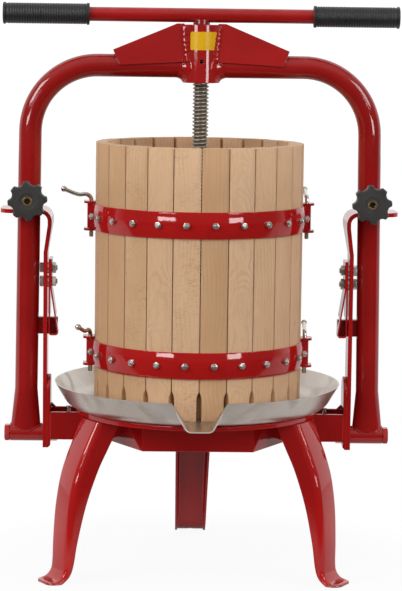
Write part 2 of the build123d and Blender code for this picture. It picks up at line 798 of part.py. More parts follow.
# Pressing screw with its thread as ridges at the thread's pitch
with BuildPart() as screw:
    crest = screw_diameter / 2
    root = screw_core_diameter / 2
    thread_bottom = foot_hub_top + free_gap
    turns = int((housing_top - thread_bottom) / screw_pitch)
    thread_top = thread_bottom + turns * screw_pitch
    flank = screw_pitch / 8
    outline = [(0, screw_bottom), (screw_journal_diameter / 2, screw_bottom),
               (screw_journal_diameter / 2, thread_bottom), (root, thread_bottom)]
    for turn in range(turns):
        start = thread_bottom + turn * screw_pitch
        outline += [(root, start + flank), (crest, start + 3 * flank),
                    (crest, start + 5 * flank), (root, start + 7 * flank)]
    outline += [(root, thread_top), (root, neck_bottom + neck_gap), (0, neck_bottom + neck_gap)]
    with BuildSketch(Plane.XZ):
        Polygon(*outline, align=None)
    revolve(axis=Axis.Z)
    with BuildSketch(sideways(1, -housing_radius, 0, bar_height)):
        Circle(bar_diameter / 2 + butt_gap)
    extrude(amount=housing_diameter, mode=Mode.SUBTRACT)
    # Groove that holds the retaining ring
    ring_level = foot_hub_top - foot_hub_height / 2
    with Locations((0, 0, ring_level)):
        Cylinder(screw_journal_diameter, ring_height, mode=Mode.SUBTRACT)
        Cylinder(screw_journal_diameter / 2 - ring_height / 2, ring_height)
finish(screw, "screw")

with BuildPart() as retaining_ring:
    with BuildSketch(Plane.XY.offset(ring_level - ring_height / 2 + butt_gap)):
        Circle(ring_diameter / 2)
        Circle(screw_journal_diameter / 2 - ring_height / 2 + butt_gap, mode=Mode.SUBTRACT)
    extrude(amount=ring_height - 2 * butt_gap)
finish(retaining_ring, "retaining_ring")

# Foot that swivels on the screw's tip
with BuildPart() as press_foot:
    foot_bottom = foot_hub_top - foot_hub_height
    with BuildSketch(Plane.XY.offset(foot_bottom)):
        Circle(foot_disc_diameter / 2)
    extrude(amount=foot_disc_height)
    with BuildSketch(Plane.XY.offset(foot_bottom)):
        Circle(foot_hub_diameter / 2)
    extrude(amount=foot_hub_height)
    with BuildSketch(Plane.XY.offset(screw_bottom - free_gap)):
        Circle(screw_journal_diameter / 2 + running_fit)
    extrude(amount=foot_hub_height, mode=Mode.SUBTRACT)
    with BuildSketch(Plane.XY.offset(ring_level - ring_height / 2 - free_gap)):
        Circle(ring_diameter / 2 + free_gap)
    extrude(amount=ring_height + 2 * free_gap, mode=Mode.SUBTRACT)
    rim = press_foot.edges().filter_by(GeomType.CIRCLE).group_by(SortBy.RADIUS)[-1]
    chamfer(rim, foot_disc_chamfer)
finish(press_foot, "press_foot")

# Neck that joins the screw to the handle bar
with BuildPart() as neck:
    with BuildSketch(Plane.XY.offset(neck_bottom)):
        Circle(screw_neck_diameter / 2)
        Circle(screw_core_diameter / 2 + butt_gap, mode=Mode.SUBTRACT)
    extrude(amount=neck_height)
    with BuildSketch(sideways(1, -housing_radius, 0, bar_height)):
        Circle(bar_diameter / 2 + butt_gap)
    extrude(amount=housing_diameter, mode=Mode.SUBTRACT)
finish(neck, "handle_neck")

with BuildPart() as bar:
    with BuildSketch(sideways(1, -bar_half_length, 0, bar_height)):
        Circle(bar_diameter / 2)
        Circle(bar_diameter / 2 - bar_wall, mode=Mode.SUBTRACT)
    extrude(amount=2 * bar_half_length)
finish(bar, "handle_bar")


def make_grip(name, side):
    """Ribbed grip, closed over the end of the bar, with a flange at each end."""
    tip = bar_half_length + grip_end
    start = tip - grip_length
    radius = grip_diameter / 2
    flange = grip_flange_diameter / 2
    bore = bar_diameter / 2 + butt_gap
    ribs = int((grip_length - 2 * grip_flange_length) / grip_rib_pitch)
    outline = [(start, bore), (start, flange), (start + grip_flange_length, flange)]
    for rib in range(ribs):
        rib_start = start + grip_flange_length + rib * grip_rib_pitch
        outline += [(rib_start, radius - grip_rib_depth),
                    (rib_start + grip_rib_pitch / 2, radius)]
    outline += [(tip - grip_flange_length, radius - grip_rib_depth),
                (tip - grip_flange_length, flange), (tip, flange), (tip, 0),
                (bar_half_length + butt_gap, 0), (bar_half_length + butt_gap, bore)]
    with BuildPart() as grip:
        with BuildSketch(Plane.XZ):
            Polygon(*[(side * x, bar_height + r) for x, r in outline], align=None)
        revolve(axis=Axis((0, 0, bar_height), (1, 0, 0)))
    finish(grip, name)


for side_name, side_sign in sides.items():
    make_grip(f"grip_{side_name}", side_sign)


# Clamp knobs with their inserts, studs and pads
pad_back = -(yoke_radius + free_gap)
pad_front = pad_back - pad_thickness
stud_back = pad_front - butt_gap
knob_back = -saddle_front - free_gap
knob_front = knob_back - knob_hub_length - knob_thickness


def make_knob(side_name, side):
    """Star knob on a threaded stud, which presses a pad against the yoke's leg."""
    x = side * yoke_leg_x(knob_height)
    with BuildPart() as knob:
        with BuildSketch(frontwards(x, knob_back - knob_hub_length, knob_height)) as star:
            Circle(knob_diameter / 2)
            scallop_distance = knob_valley_diameter / 2 + knob_scallop_radius
            with PolarLocations(scallop_distance, knob_lobes, start_angle=knob_first_valley):
                Circle(knob_scallop_radius, mode=Mode.SUBTRACT)
            fillet(star.vertices(), knob_lobe_rounding)
        extrude(amount=knob_thickness)
        rims = knob.faces().filter_by(Axis.Y).edges()
        fillet(rims, knob_edge_radius)
        with BuildSketch(frontwards(x, knob_back, knob_height)):
            Circle(knob_hub_diameter / 2)
        extrude(amount=knob_hub_length)
        with BuildSketch(frontwards(x, knob_front + knob_recess_depth, knob_height)):
            Circle(knob_recess_diameter / 2)
        extrude(amount=knob_recess_depth, mode=Mode.SUBTRACT)
        with BuildSketch(frontwards(x, 0, knob_height)):
            Circle(insert_diameter / 2 + butt_gap)
        extrude(amount=2 * (saddle_front + knob_thickness + knob_hub_length), mode=Mode.SUBTRACT)
    finish(knob, f"knob_{side_name}")
    with BuildPart() as insert:
        with BuildSketch(frontwards(x, knob_back, knob_height)):
            Circle(insert_diameter / 2)
            Circle(stud_diameter / 2 + butt_gap, mode=Mode.SUBTRACT)
        extrude(amount=knob_hub_length + knob_thickness - insert_set_back)
    finish(insert, f"knob_insert_{side_name}")
    with BuildPart() as stud:
        with BuildSketch(frontwards(x, stud_back, knob_height)):
            Circle(stud_diameter / 2)
        extrude(amount=stud_back - knob_front - stud_recess)
    finish(stud, f"knob_stud_{side_name}")
    with BuildPart() as pad:
        with BuildSketch(frontwards(x, pad_back, knob_height)):
            Circle(pad_diameter / 2)
        extrude(amount=pad_thickness)
    finish(pad, f"knob_pad_{side_name}")


for side_name, side_sign in sides.items():
    make_knob(side_name, side_sign)

# Basin: a shallow dish with a trough let through its wall at the front
spout_bottom = plate_top
spout_slope = (spout_top_half_width - spout_floor_half_width) / basin_depth


def spout_section(inset, top):
    """Trough section seen from the front, moved inwards by the sheet."""
    lift = spout_bottom + inset
    floor_half = spout_floor_half_width + basin_thickness - inset
    top_half = floor_half + spout_slope * (top - lift)
    with BuildSketch(Plane.XZ) as section:
        Polygon((-top_half, top), (-floor_half, lift), (floor_half, lift), (top_half, top), align=None)
        corners = section.vertices().group_by(Axis.Z)[0]
        fillet(corners, spout_corner_radius - inset)
    return section.sketch


with BuildPart() as dish:
    with BuildSketch(Plane.XZ) as dish_section:
        Polygon((0, plate_top), (basin_floor_radius, plate_top), (basin_rim_radius, basin_rim),
                (0, basin_rim), align=None)
        floor_corner = dish_section.vertices().sort_by_distance((basin_floor_radius, 0, plate_top))[0]
        fillet(floor_corner, basin_corner_radius + basin_thickness)
    revolve(axis=Axis.Z)

with BuildPart() as dish_inside:
    wall = hypot(basin_rim_radius - basin_floor_radius, basin_depth) / basin_depth * basin_thickness
    slope = (basin_rim_radius - basin_floor_radius) / basin_depth
    above = basin_depth
    inner_corner = basin_floor_radius - wall + slope * basin_thickness
    with BuildSketch(Plane.XZ) as inside_section:
        Polygon((0, basket_bottom), (inner_corner, basket_bottom),
                (basin_rim_radius - wall + slope * above, basin_rim + above), (0, basin_rim + above),
                align=None)
        floor_corner = inside_section.vertices().sort_by_distance((inner_corner, 0, basket_bottom))[0]
        fillet(floor_corner, basin_corner_radius)
    revolve(axis=Axis.Z)

with BuildPart() as basin:
    add(dish.part)
    # The trough runs from inside the floor to the lip, and slants back up to the rim
    extrude(spout_section(0, basin_rim), amount=spout_reach)
    lip_top = sqrt(basin_rim_radius**2 - spout_top_half_width**2)
    lean = (spout_reach - lip_top) / basin_depth
    with BuildSketch(Plane.YZ):
        Polygon((-spout_reach, spout_bottom), (-lip_top, basin_rim),
                (-lip_top + lean * basin_depth, basin_rim + basin_depth),
                (-2 * spout_reach, basin_rim + basin_depth), (-2 * spout_reach, spout_bottom), align=None)
    extrude(amount=basin_rim_radius, both=True, mode=Mode.SUBTRACT)
    add(dish_inside.part, mode=Mode.SUBTRACT)
    trough_top = basin_rim + basin_depth
    extrude(spout_section(basin_thickness, trough_top), amount=2 * spout_reach, mode=Mode.SUBTRACT)
finish(basin, "basin")


# Basket
def make_staves(name, first):
    """Twelve staves of one half, with relieved lower corners and holes for the bolts."""
    half_outside = stave_angle / 2 - degrees(asin(stave_gap_outside / 2 / basket_radius))
    half_inside = stave_angle / 2 - degrees(asin(stave_gap_inside / 2 / basket_bore_radius))
    half_width = basket_radius * sin(radians(half_outside))
    with BuildPart() as stave:
        with BuildSketch(Plane.XY.offset(basket_bottom)):
            with BuildLine():
                outside = CenterArc((0, 0), basket_radius, -half_outside, 2 * half_outside)
                inside = CenterArc((0, 0), basket_bore_radius, -half_inside, 2 * half_inside)
                Line(outside @ 0, inside @ 0)
                Line(outside @ 1, inside @ 1)
            make_face()
        extrude(amount=basket_height)
        for edge in (-1, 1):
            with BuildSketch(Plane.YZ):
                with BuildLine():
                    cheek = half_width - relief_depth
                    low = basket_bottom - relief_depth
                    shoulder = basket_bottom + relief_height - relief_runout
                    run = Line((edge * cheek, low), (edge * cheek, shoulder))
                    arch = TangentArc(run @ 1, (edge * (half_width + relief_depth),
                                                basket_bottom + relief_height), tangent=(0, 1))
                    Polyline(arch @ 1, (edge * stave_thickness * 2, basket_bottom + relief_height),
                             (edge * stave_thickness * 2, low), run @ 0)
                make_face()
            extrude(amount=2 * basket_radius, mode=Mode.SUBTRACT)
        with BuildSketch(Plane.YZ):
            with Locations(*[(0, basket_bottom + level) for level in hoop_levels.values()]):
                Circle(stave_bolt_diameter / 2 + running_fit)
        extrude(amount=2 * basket_radius, mode=Mode.SUBTRACT)
    with BuildPart() as staves:
        with PolarLocations(0, stave_count // 2, start_angle=first + stave_angle / 2, angular_range=180):
            add(stave.part)
    finish(staves, name)


make_staves("staves_front", 180)
make_staves("staves_rear", 0)


def hoop_band(level, start, arc):
    """Half of a hoop as a rounded band, in the current part."""
    middle = basket_bottom + level
    edge = hoop_radius + hoop_edge_thickness
    low, high = middle - hoop_height / 2, middle + hoop_height / 2
    with BuildSketch(radial_plane(start)) as section:
        with BuildLine():
            ThreePointArc((edge, low), (edge + hoop_crown, middle), (edge, high))
            Polyline((edge, high), (hoop_radius, high), (hoop_radius, low), (edge, low))
        make_face()
    revolve(section.sketch, axis=Axis.Z, revolution_arc=arc)


def drill_hoop(level, first):
    """Holes for the twelve bolts of one half, in the current part."""
    for angle in bolt_angles[: stave_count // 2]:
        with BuildSketch(facing_plane(first + angle)) as hole:
            with Locations((0, basket_bottom + level)):
                Circle(stave_bolt_diameter / 2 + running_fit)
        extrude(hole.sketch, amount=2 * basket_radius, mode=Mode.SUBTRACT)


band_end = degrees(asin((ear_radius + band_setback) / basket_radius))


def make_hoop_front(name, level):
    """Front half, with its ends rolled into eyes for the clasp pins."""
    middle = basket_bottom + level
    with BuildPart() as hoop:
        hoop_band(level, 180 + band_end, 180 - 2 * band_end)
        for side_sign in sides.values():
            x = side_sign * pin_distance
            with BuildSketch(Plane.XY.offset(middle - eye_half_height)):
                with Locations((x, 0)):
                    Circle(eye_radius)
                with Locations((side_sign * (pin_distance + basket_radius) / 2, -eye_leaf / 2)):
                    Rectangle(pin_distance - basket_radius, eye_leaf)
            extrude(amount=2 * eye_half_height)
            with Locations((x, 0, middle)):
                Cylinder(pin_diameter / 2 + running_fit, hoop_height, mode=Mode.SUBTRACT)
        with Locations((0, 0, middle)):
            Cylinder(hoop_radius, 2 * hoop_height, mode=Mode.SUBTRACT)
        drill_hoop(level, 180)
    finish(hoop, name)


def make_hoop_rear(name, level):
    """Rear half, with an upper and a lower ear at each end."""
    middle = basket_bottom + level
    with BuildPart() as hoop:
        hoop_band(level, band_end, 180 - 2 * band_end)
        for side_sign in sides.values():
            x = side_sign * pin_distance
            edge = hoop_height / 2 - ear_overlap
            for bottom in (middle - edge - ear_thickness, middle + edge):
                with BuildSketch(Plane.XY.offset(bottom)):
                    with Locations((x, 0)):
                        Circle(ear_radius)
                    with Locations((x, ear_length / 2)):
                        Rectangle(2 * ear_radius, ear_length)
                    with Locations((x, 0)):
                        Circle(pin_diameter / 2 + running_fit, mode=Mode.SUBTRACT)
                extrude(amount=ear_thickness)
        with Locations((0, 0, middle)):
            Cylinder(hoop_radius, 2 * hoop_height, mode=Mode.SUBTRACT)
        drill_hoop(level, 0)
    finish(hoop, name)


for level_name, hoop_level in hoop_levels.items():
    make_hoop_front(f"hoop_{level_name}_front", hoop_level)
    make_hoop_rear(f"hoop_{level_name}_rear", hoop_level)


# Bolts and nuts of the staves, one at each stave and hoop
bolt_places = [(angle, level) for level in hoop_levels.values() for angle in bolt_angles]
bolt_seat = basket_bore_radius * cos(radians(stave_angle / 2)) - butt_gap
nut_seat = hoop_outer + butt_gap
with BuildPart() as stave_bolt:
    with BuildSketch(Plane.YZ.offset(bolt_seat)):
        Circle(stave_bolt_head_diameter / 2)
    extrude(amount=-stave_bolt_head_height)
    with BuildSketch(Plane.YZ.offset(bolt_seat)):
        Circle(stave_bolt_diameter / 2)
    extrude(amount=nut_seat + stave_nut_height + stave_bolt_tip - bolt_seat)

with BuildPart() as stave_nut:
    with BuildSketch(Plane.YZ.offset(nut_seat)):
        hexagon(stave_nut_across_flats)
        Circle(stave_bolt_diameter / 2 + running_fit, mode=Mode.SUBTRACT)
    extrude(amount=stave_nut_height)


def spread(name, fastener):
    """Set a copy of one fastener at every stave and hoop, as separate solids."""
    with BuildPart() as group:
        with Locations(*[Location((0, 0, basket_bottom + level), (0, 0, angle))
                         for angle, level in bolt_places]):
            add(fastener.part)
    finish(group, name)


spread("stave_bolts", stave_bolt)
spread("stave_nuts", stave_nut)


def make_pin(name, level, side, direction):
    """Clasp pin: an upright shank, bent into a handle that ends in a ball."""
    middle = basket_bottom + level
    out = Vector(cos(radians(direction)), sin(radians(direction)), 0)
    root = Vector(side * pin_distance, 0, middle)
    up = Vector(0, 0, 1)
    ear_top = hoop_height / 2 - ear_overlap + ear_thickness
    bottom = root - up * (ear_top + pin_tail)
    top = root + up * (ear_top + pin_neck)
    elbow = top + out * pin_handle_length
    rise = out * cos(radians(pin_tip_rise)) + up * sin(radians(pin_tip_rise))
    with BuildPart() as pin:
        with BuildLine():
            wire = FilletPolyline(bottom, top, elbow, elbow + rise * pin_tip_length,
                                  radius=pin_bend_radius)
        with BuildSketch(Plane(origin=bottom, z_dir=up)):
            Circle(pin_diameter / 2)
        sweep()
        with Locations(Location(wire @ 1, (0, 0, direction))):
            Sphere(pin_ball_diameter / 2)
    finish(pin, name)


for (level_name, side_name), pin_direction in pin_directions.items():
    make_pin(f"clasp_pin_{level_name}_{side_name}", hoop_levels[level_name],
             sides[side_name], pin_direction)


# Press boards: two half discs with a hand slot each
def make_board(name, facing):
    """Half of the press board, which lies loose on the basin's floor."""
    radius = basket_bore_radius - board_clearance
    with BuildPart() as board:
        with BuildSketch(Plane.XY.offset(basket_bottom + butt_gap)):
            Circle(radius)
            with Locations((0, -facing * (radius - board_split_gap / 2))):
                Rectangle(2 * radius, 2 * radius, mode=Mode.SUBTRACT)
            with Locations((0, facing * grip_slot_distance)):
                SlotOverall(grip_slot_length, grip_slot_width, mode=Mode.SUBTRACT)
        extrude(amount=board_thickness)
    finish(board, name)


make_board("press_board_front", -1)
make_board("press_board_rear", 1)
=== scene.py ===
"""Looks of a tilting-yoke screw fruit press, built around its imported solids."""

import logging
import math
import random
from dataclasses import dataclass, field
from enum import Enum
from functools import cache
from typing import Iterable, Sequence

import bmesh
import bpy
from mathutils import Matrix, Vector


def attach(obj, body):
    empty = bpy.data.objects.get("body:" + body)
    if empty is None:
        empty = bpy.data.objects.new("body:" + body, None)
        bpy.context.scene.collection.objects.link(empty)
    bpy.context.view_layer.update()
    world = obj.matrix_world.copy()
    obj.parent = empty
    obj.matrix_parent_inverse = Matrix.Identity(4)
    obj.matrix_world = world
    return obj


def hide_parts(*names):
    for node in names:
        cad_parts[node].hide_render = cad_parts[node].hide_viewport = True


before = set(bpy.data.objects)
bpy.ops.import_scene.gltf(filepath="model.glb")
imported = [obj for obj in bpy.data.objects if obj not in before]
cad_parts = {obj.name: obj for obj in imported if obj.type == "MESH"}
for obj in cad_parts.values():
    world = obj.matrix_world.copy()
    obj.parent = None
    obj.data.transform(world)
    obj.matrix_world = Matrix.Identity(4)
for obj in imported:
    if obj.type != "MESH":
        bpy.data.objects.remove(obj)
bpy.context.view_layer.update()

LOG = logging.getLogger("fruit_press")
MM = 0.001
SIDES = {"left": -1, "right": 1}
FACINGS = (-1, 1)

Pair = tuple[float, float]
Triple = tuple[float, float, float]
Colour = Triple
Node = bpy.types.Node
NodeTree = bpy.types.NodeTree
Sockets = bpy.types.bpy_prop_collection
Piece = bpy.types.Object
Socket = bpy.types.NodeSocket
Feed = Socket | float | tuple


class Slot(Enum):
    """Material slots of the record, which this script doesn't use."""

    ENAMEL = "red_enamel"
    BEECH = "beech"
    ZINC = "zinc_steel"
    OILED = "oiled_steel"
    RUBBER = "grip_rubber"


class Graph:
    """Adds nodes to one shader tree and links them."""

    def __init__(self, tree: NodeTree) -> None:
        """Keep the tree that the nodes go into."""
        self.tree = tree

    def add(self, kind: str, **settings: object) -> Node:
        """Add one node.

        Args:
            kind: The node type's name without its ShaderNode prefix.
            settings: Properties to set on the node.

        Returns:
            The new node.
        """
        node = self.tree.nodes.new("ShaderNode" + kind)
        for key, value in settings.items():
            setattr(node, key, value)
        return node

    def feed(self, socket: Socket, value: Feed) -> None:
        """Link a socket to another one, or set its own value.

        Args:
            socket: The input to fill.
            value: An output socket, a number or a tuple.
        """
        if isinstance(value, Socket):
            self.tree.links.new(value, socket)
        elif socket.type == "RGBA" and isinstance(value, tuple):
            socket.default_value = (*value[:3], 1.0)
        else:
            socket.default_value = value

    def fill(self, node: Node, values: Iterable[Feed]) -> Sockets:
        """Feed a node's first inputs in order.

        Args:
            node: The node.
            values: What its inputs get.

        Returns:
            The node's outputs.
        """
        for socket, value in zip(node.inputs, values):
            self.feed(socket, value)
        return node.outputs

    def tune(self, node: Node, **values: Feed | None) -> Sockets:
        """Feed some of a node's inputs by name.

        Args:
            node: The node.
            values: What its inputs get, by their names in lower case. None leaves an input alone.

        Returns:
            The node's outputs.
        """
        for name, value in values.items():
            if value is not None:
                self.feed(node.inputs[name.capitalize()], value)
        return node.outputs

    def math(self, operation: str, first: Feed, second: Feed = 0.0) -> Socket:
        """Add one arithmetic step, by Blender's name of the operation."""
        return self.fill(self.add("Math", operation=operation), (first, second))[0]

    def plus(self, first: Feed, second: Feed) -> Socket:
        """Add two values."""
        return self.math("ADD", first, second)

    def minus(self, first: Feed, second: Feed) -> Socket:
        """Take the second value from the first one."""
        return self.math("SUBTRACT", first, second)

    def times(self, first: Feed, second: Feed) -> Socket:
        """Multiply two values."""
        return self.math("MULTIPLY", first, second)

    def most(self, first: Feed, second: Feed) -> Socket:
        """Give the larger of two values."""
        return self.math("MAXIMUM", first, second)

    def from_axis(self, x: Feed, y: Feed) -> Socket:
        """Give a point's distance from the Z axis."""
        return self.math("SQRT", self.plus(self.times(x, x), self.times(y, y)))

    def blend(self, share: Feed, first: Feed, second: Feed) -> Socket:
        """Mix two colours.

        Args:
            share: How much of the second colour shows.
            first: The colour at a share of 0.
            second: The colour at a share of 1.

        Returns:
            The mixed colour's socket.
        """
        node = self.add("Mix", data_type="RGBA")
        self.feed(node.inputs[0], share)
        self.feed(node.inputs[6], first)
        self.feed(node.inputs[7], second)
        return node.outputs[2]

    def span(self, value: Feed, low: Feed, high: Feed, start: Feed = 0.0, end: Feed = 1.0) -> Socket:
        """Map a range of values smoothly to another range, and hold its ends.

        Args:
            value: The value to map.
            low: Where the range begins.
            high: Where the range ends.
            start: What low becomes.
            end: What high becomes.

        Returns:
            The mapped value's socket.
        """
        node = self.add("MapRange", interpolation_type="SMOOTHSTEP")
        return self.fill(node, (value, low, high, start, end))[0]

    def place(self, stretch: Feed = (1.0, 1.0, 1.0)) -> Socket:
        """Give the point on the object, in metres, stretched along its axes."""
        here = self.add("TexCoord").outputs["Object"]
        return self.fill(self.add("VectorMath", operation="MULTIPLY"), (here, stretch))[0]

    def facing(self) -> Socket:
        """Give the surface's own direction."""
        return self.add("NewGeometry").outputs["Normal"]

    def join(self, x: Feed, y: Feed, z: Feed) -> Socket:
        """Make a vector of three values."""
        return self.fill(self.add("CombineXYZ"), (x, y, z))[0]

    def parts(self, vector: Feed) -> Sockets:
        """Split a vector into its three values."""
        return self.fill(self.add("SeparateXYZ"), (vector,))

    def noise(self, where: Feed, scale: Feed, detail: float = 3.0, distortion: float = 0.0) -> Socket:
        """Add cloudy noise.

        Args:
            where: The point to look up.
            scale: Lumps for each metre.
            detail: How many finer layers are added.
            distortion: How far the lumps are twisted.

        Returns:
            The noise value's socket, around one half.
        """
        node = self.add("TexNoise")
        return self.tune(node, vector=where, scale=scale, detail=detail, distortion=distortion)[0]

    def bump(self, height: Feed, strength: float, depth: float, normal: Feed | None = None) -> Socket:
        """Turn a height into a bumped normal.

        Args:
            height: The height, from 0 to 1.
            strength: Share of the effect.
            depth: How deep a height of 1 is, in metres.
            normal: A normal to start from.

        Returns:
            The normal's socket.
        """
        node = self.add("Bump")
        return self.tune(node, strength=strength, distance=depth, height=height, normal=normal)[0]

    def use(self, effect: NodeTree, **values: Feed) -> Sockets:
        """Place a shared effect, feed its inputs and give its outputs."""
        return self.tune(self.add("Group", node_tree=effect), **values)


class Effects:
    """Surface effects that several finishes share, each a node group that is built once."""

    VECTORS = ("Stretch", "Normal")
    CLOUDS: Pair = (0.32, 0.68)
    TURNED: Pair = (0.01, 0.25)
    RUBBED: Pair = (0.48, 0.66)
    UPWARDS: Pair = (0.35, 1.0)
    DUSTY: Pair = (0.38, 0.72)
    STAINED: Pair = (0.52, 0.74)
    STAIN_TWIST = 1.6
    BEVEL_SAMPLES = 6
    FINE_SKIN = 5.0
    FINE_SHARE = 0.25

    @staticmethod
    def open(name: str, inputs: Sequence[str], outputs: Sequence[str]) -> tuple[Graph, Sockets, Sockets]:
        """Start a node group.

        Args:
            name: The group's name.
            inputs: Names of its inputs.
            outputs: Names of its outputs.

        Returns:
            The group's graph, what comes in, and what goes out.
        """
        tree = bpy.data.node_groups.new(name, "ShaderNodeTree")
        for way, labels in (("INPUT", inputs), ("OUTPUT", outputs)):
            for label in labels:
                kind = "NodeSocketVector" if label in Effects.VECTORS else "NodeSocketFloat"
                tree.interface.new_socket(name=label, in_out=way, socket_type=kind)
        return (Graph(tree), tree.nodes.new("NodeGroupInput").outputs,
                tree.nodes.new("NodeGroupOutput").inputs)

    @staticmethod
    @cache
    def mottle() -> NodeTree:
        """Make a slow cloudy change from one value to another.

        Returns:
            The node group.
        """
        graph, given, result = Effects.open("mottle", ("Scale", "Low", "High"), ("Value",))
        clouds = graph.noise(graph.place(), given["Scale"], detail=4.0)
        graph.feed(result["Value"], graph.span(clouds, *Effects.CLOUDS, given["Low"], given["High"]))
        return graph.tree

    @staticmethod
    @cache
    def edges() -> NodeTree:
        """Make worn, slightly rounded edges.

        Returns:
            The node group: a mask of the rubbed places, and a normal that turns round the edge.
        """
        graph, given, result = Effects.open("edge_wear", ("Width", "Amount", "Scale"), ("Mask", "Normal"))
        round_edge = graph.fill(graph.add("Bevel", samples=Effects.BEVEL_SAMPLES), (given["Width"],))[0]
        compare = graph.add("VectorMath", operation="DOT_PRODUCT")
        alike = graph.fill(compare, (round_edge, graph.facing()))["Value"]
        turned = graph.span(graph.minus(1.0, alike), *Effects.TURNED)
        rubbed = graph.span(graph.noise(graph.place(), given["Scale"], detail=5.0), *Effects.RUBBED)
        graph.feed(result["Mask"], graph.times(graph.times(turned, rubbed), given["Amount"]))
        graph.feed(result["Normal"], round_edge)
        return graph.tree

    @staticmethod
    @cache
    def peel() -> NodeTree:
        """Make the gentle unevenness of a sprayed, moulded or rolled skin.

        Returns:
            The node group.
        """
        graph, given, result = Effects.open("skin", ("Scale",), ("Height",))
        coarse = graph.noise(graph.place(), given["Scale"], detail=1.0)
        fine = graph.noise(graph.place(), graph.times(given["Scale"], Effects.FINE_SKIN), detail=1.0)
        graph.feed(result["Height"], graph.plus(coarse, graph.times(fine, Effects.FINE_SHARE)))
        return graph.tree

    @staticmethod
    @cache
    def dust() -> NodeTree:
        """Make thin dust that settles on what faces upwards.

        Returns:
            The node group.
        """
        graph, given, result = Effects.open("dust", ("Amount", "Scale"), ("Mask",))
        settled = graph.span(graph.parts(graph.facing())["Z"], *Effects.UPWARDS)
        patches = graph.span(graph.noise(graph.place(), given["Scale"], detail=6.0), *Effects.DUSTY)
        graph.feed(result["Mask"], graph.times(graph.times(settled, patches), given["Amount"]))
        return graph.tree

    @staticmethod
    @cache
    def strokes() -> NodeTree:
        """Make fine parallel marks of rolling, turning or planing, along the axis that is stretched least.

        Returns:
            The node group.
        """
        graph, given, result = Effects.open("strokes", ("Stretch", "Scale"), ("Height",))
        graph.feed(result["Height"], graph.noise(graph.place(given["Stretch"]), given["Scale"], detail=4.0))
        return graph.tree

    @staticmethod
    @cache
    def smudges() -> NodeTree:
        """Make patches of handling, oil or juice stains with soft, twisted outlines.

        Returns:
            The node group.
        """
        graph, given, result = Effects.open("smudges", ("Scale", "Amount"), ("Mask",))
        stains = graph.noise(graph.place(), given["Scale"], detail=6.0, distortion=Effects.STAIN_TWIST)
        graph.feed(result["Mask"], graph.times(graph.span(stains, *Effects.STAINED), given["Amount"]))
        return graph.tree


class Finish:
    """A surface finish. Each one dresses a shader, and its material is made once."""

    label: str

    def looks(self, graph: Graph) -> dict[str, Feed]:
        """Give what the shader's inputs get, by name."""
        raise NotImplementedError

    @cache
    def material(self) -> bpy.types.Material:
        """Make the finish's material.

        Returns:
            The material, the same one at each call.
        """
        made = bpy.data.materials.new("finish_" + self.label)
        made.use_nodes = True
        graph = Graph(made.node_tree)
        inputs = made.node_tree.nodes["Principled BSDF"].inputs
        for name, value in self.looks(graph).items():
            graph.feed(inputs[name], value)
        return made


@dataclass(frozen=True)
class Enamel(Finish):
    """Glossy red enamel with soft mottling, pale edges that are part wear and part painted highlight, and
    bare steel where the toes scrape the floor.
    """

    label: str = "enamel"
    colour: Colour = (0.415, 0.0085, 0.0075)
    deep: Colour = (0.335, 0.0055, 0.0050)
    # Pale pink edge colour: partly worn paint, partly a painted highlight along the edges.
    rubbed: Colour = (0.46, 0.16, 0.14)
    dusty: Colour = (0.55, 0.50, 0.47)
    bare: Colour = (0.26, 0.24, 0.22)
    bare_metal: float = 0.9
    floor_wear: float = 0.0035
    scrape_scale: float = 240.0
    scrapes: Pair = (0.42, 0.56)
    edge: float = 0.0011
    gloss: float = 0.035
    gloss_spread: float = 0.04
    worn_rough: float = 0.3
    skin_share: float = 0.10
    skin_depth: float = 0.0005
    ior: float = 1.5

    def looks(self, graph: Graph) -> dict[str, Feed]:
        """Make colour, roughness, metal and normal.

        Args:
            graph: The material's graph.

        Returns:
            What the shader's inputs get, by name.
        """
        edges = graph.use(Effects.edges(), width=self.edge, amount=0.55, scale=170.0)
        tone = graph.use(Effects.mottle(), scale=11.0, low=0.0, high=0.75)["Value"]
        dust = graph.use(Effects.dust(), amount=0.06, scale=60.0)["Mask"]
        paint = graph.blend(tone, self.colour, self.deep)
        # Painted highlight along the edges, mixed with edge wear.
        paint = graph.blend(edges["Mask"], paint, self.rubbed)
        paint = graph.blend(dust, paint, self.dusty)
        scrape = graph.span(graph.noise(graph.place(), self.scrape_scale, detail=5.0), *self.scrapes)
        low = graph.span(graph.parts(graph.place())["Z"], 0.0, self.floor_wear, 1.0, 0.0)
        scraped = graph.times(low, scrape)
        dull = self.gloss + self.gloss_spread
        sheen = graph.use(Effects.mottle(), scale=35.0, low=self.gloss, high=dull)["Value"]
        worn = graph.plus(graph.plus(dust, edges["Mask"]), scraped)
        skin = graph.use(Effects.peel(), scale=70.0)["Height"]
        return {"Base Color": graph.blend(scraped, paint, self.bare),
                "Metallic": graph.times(scraped, self.bare_metal),
                "Roughness": graph.plus(sheen, graph.times(worn, self.worn_rough)),
                "Normal": graph.bump(skin, self.skin_share, self.skin_depth, edges["Normal"]),
                "IOR": self.ior}


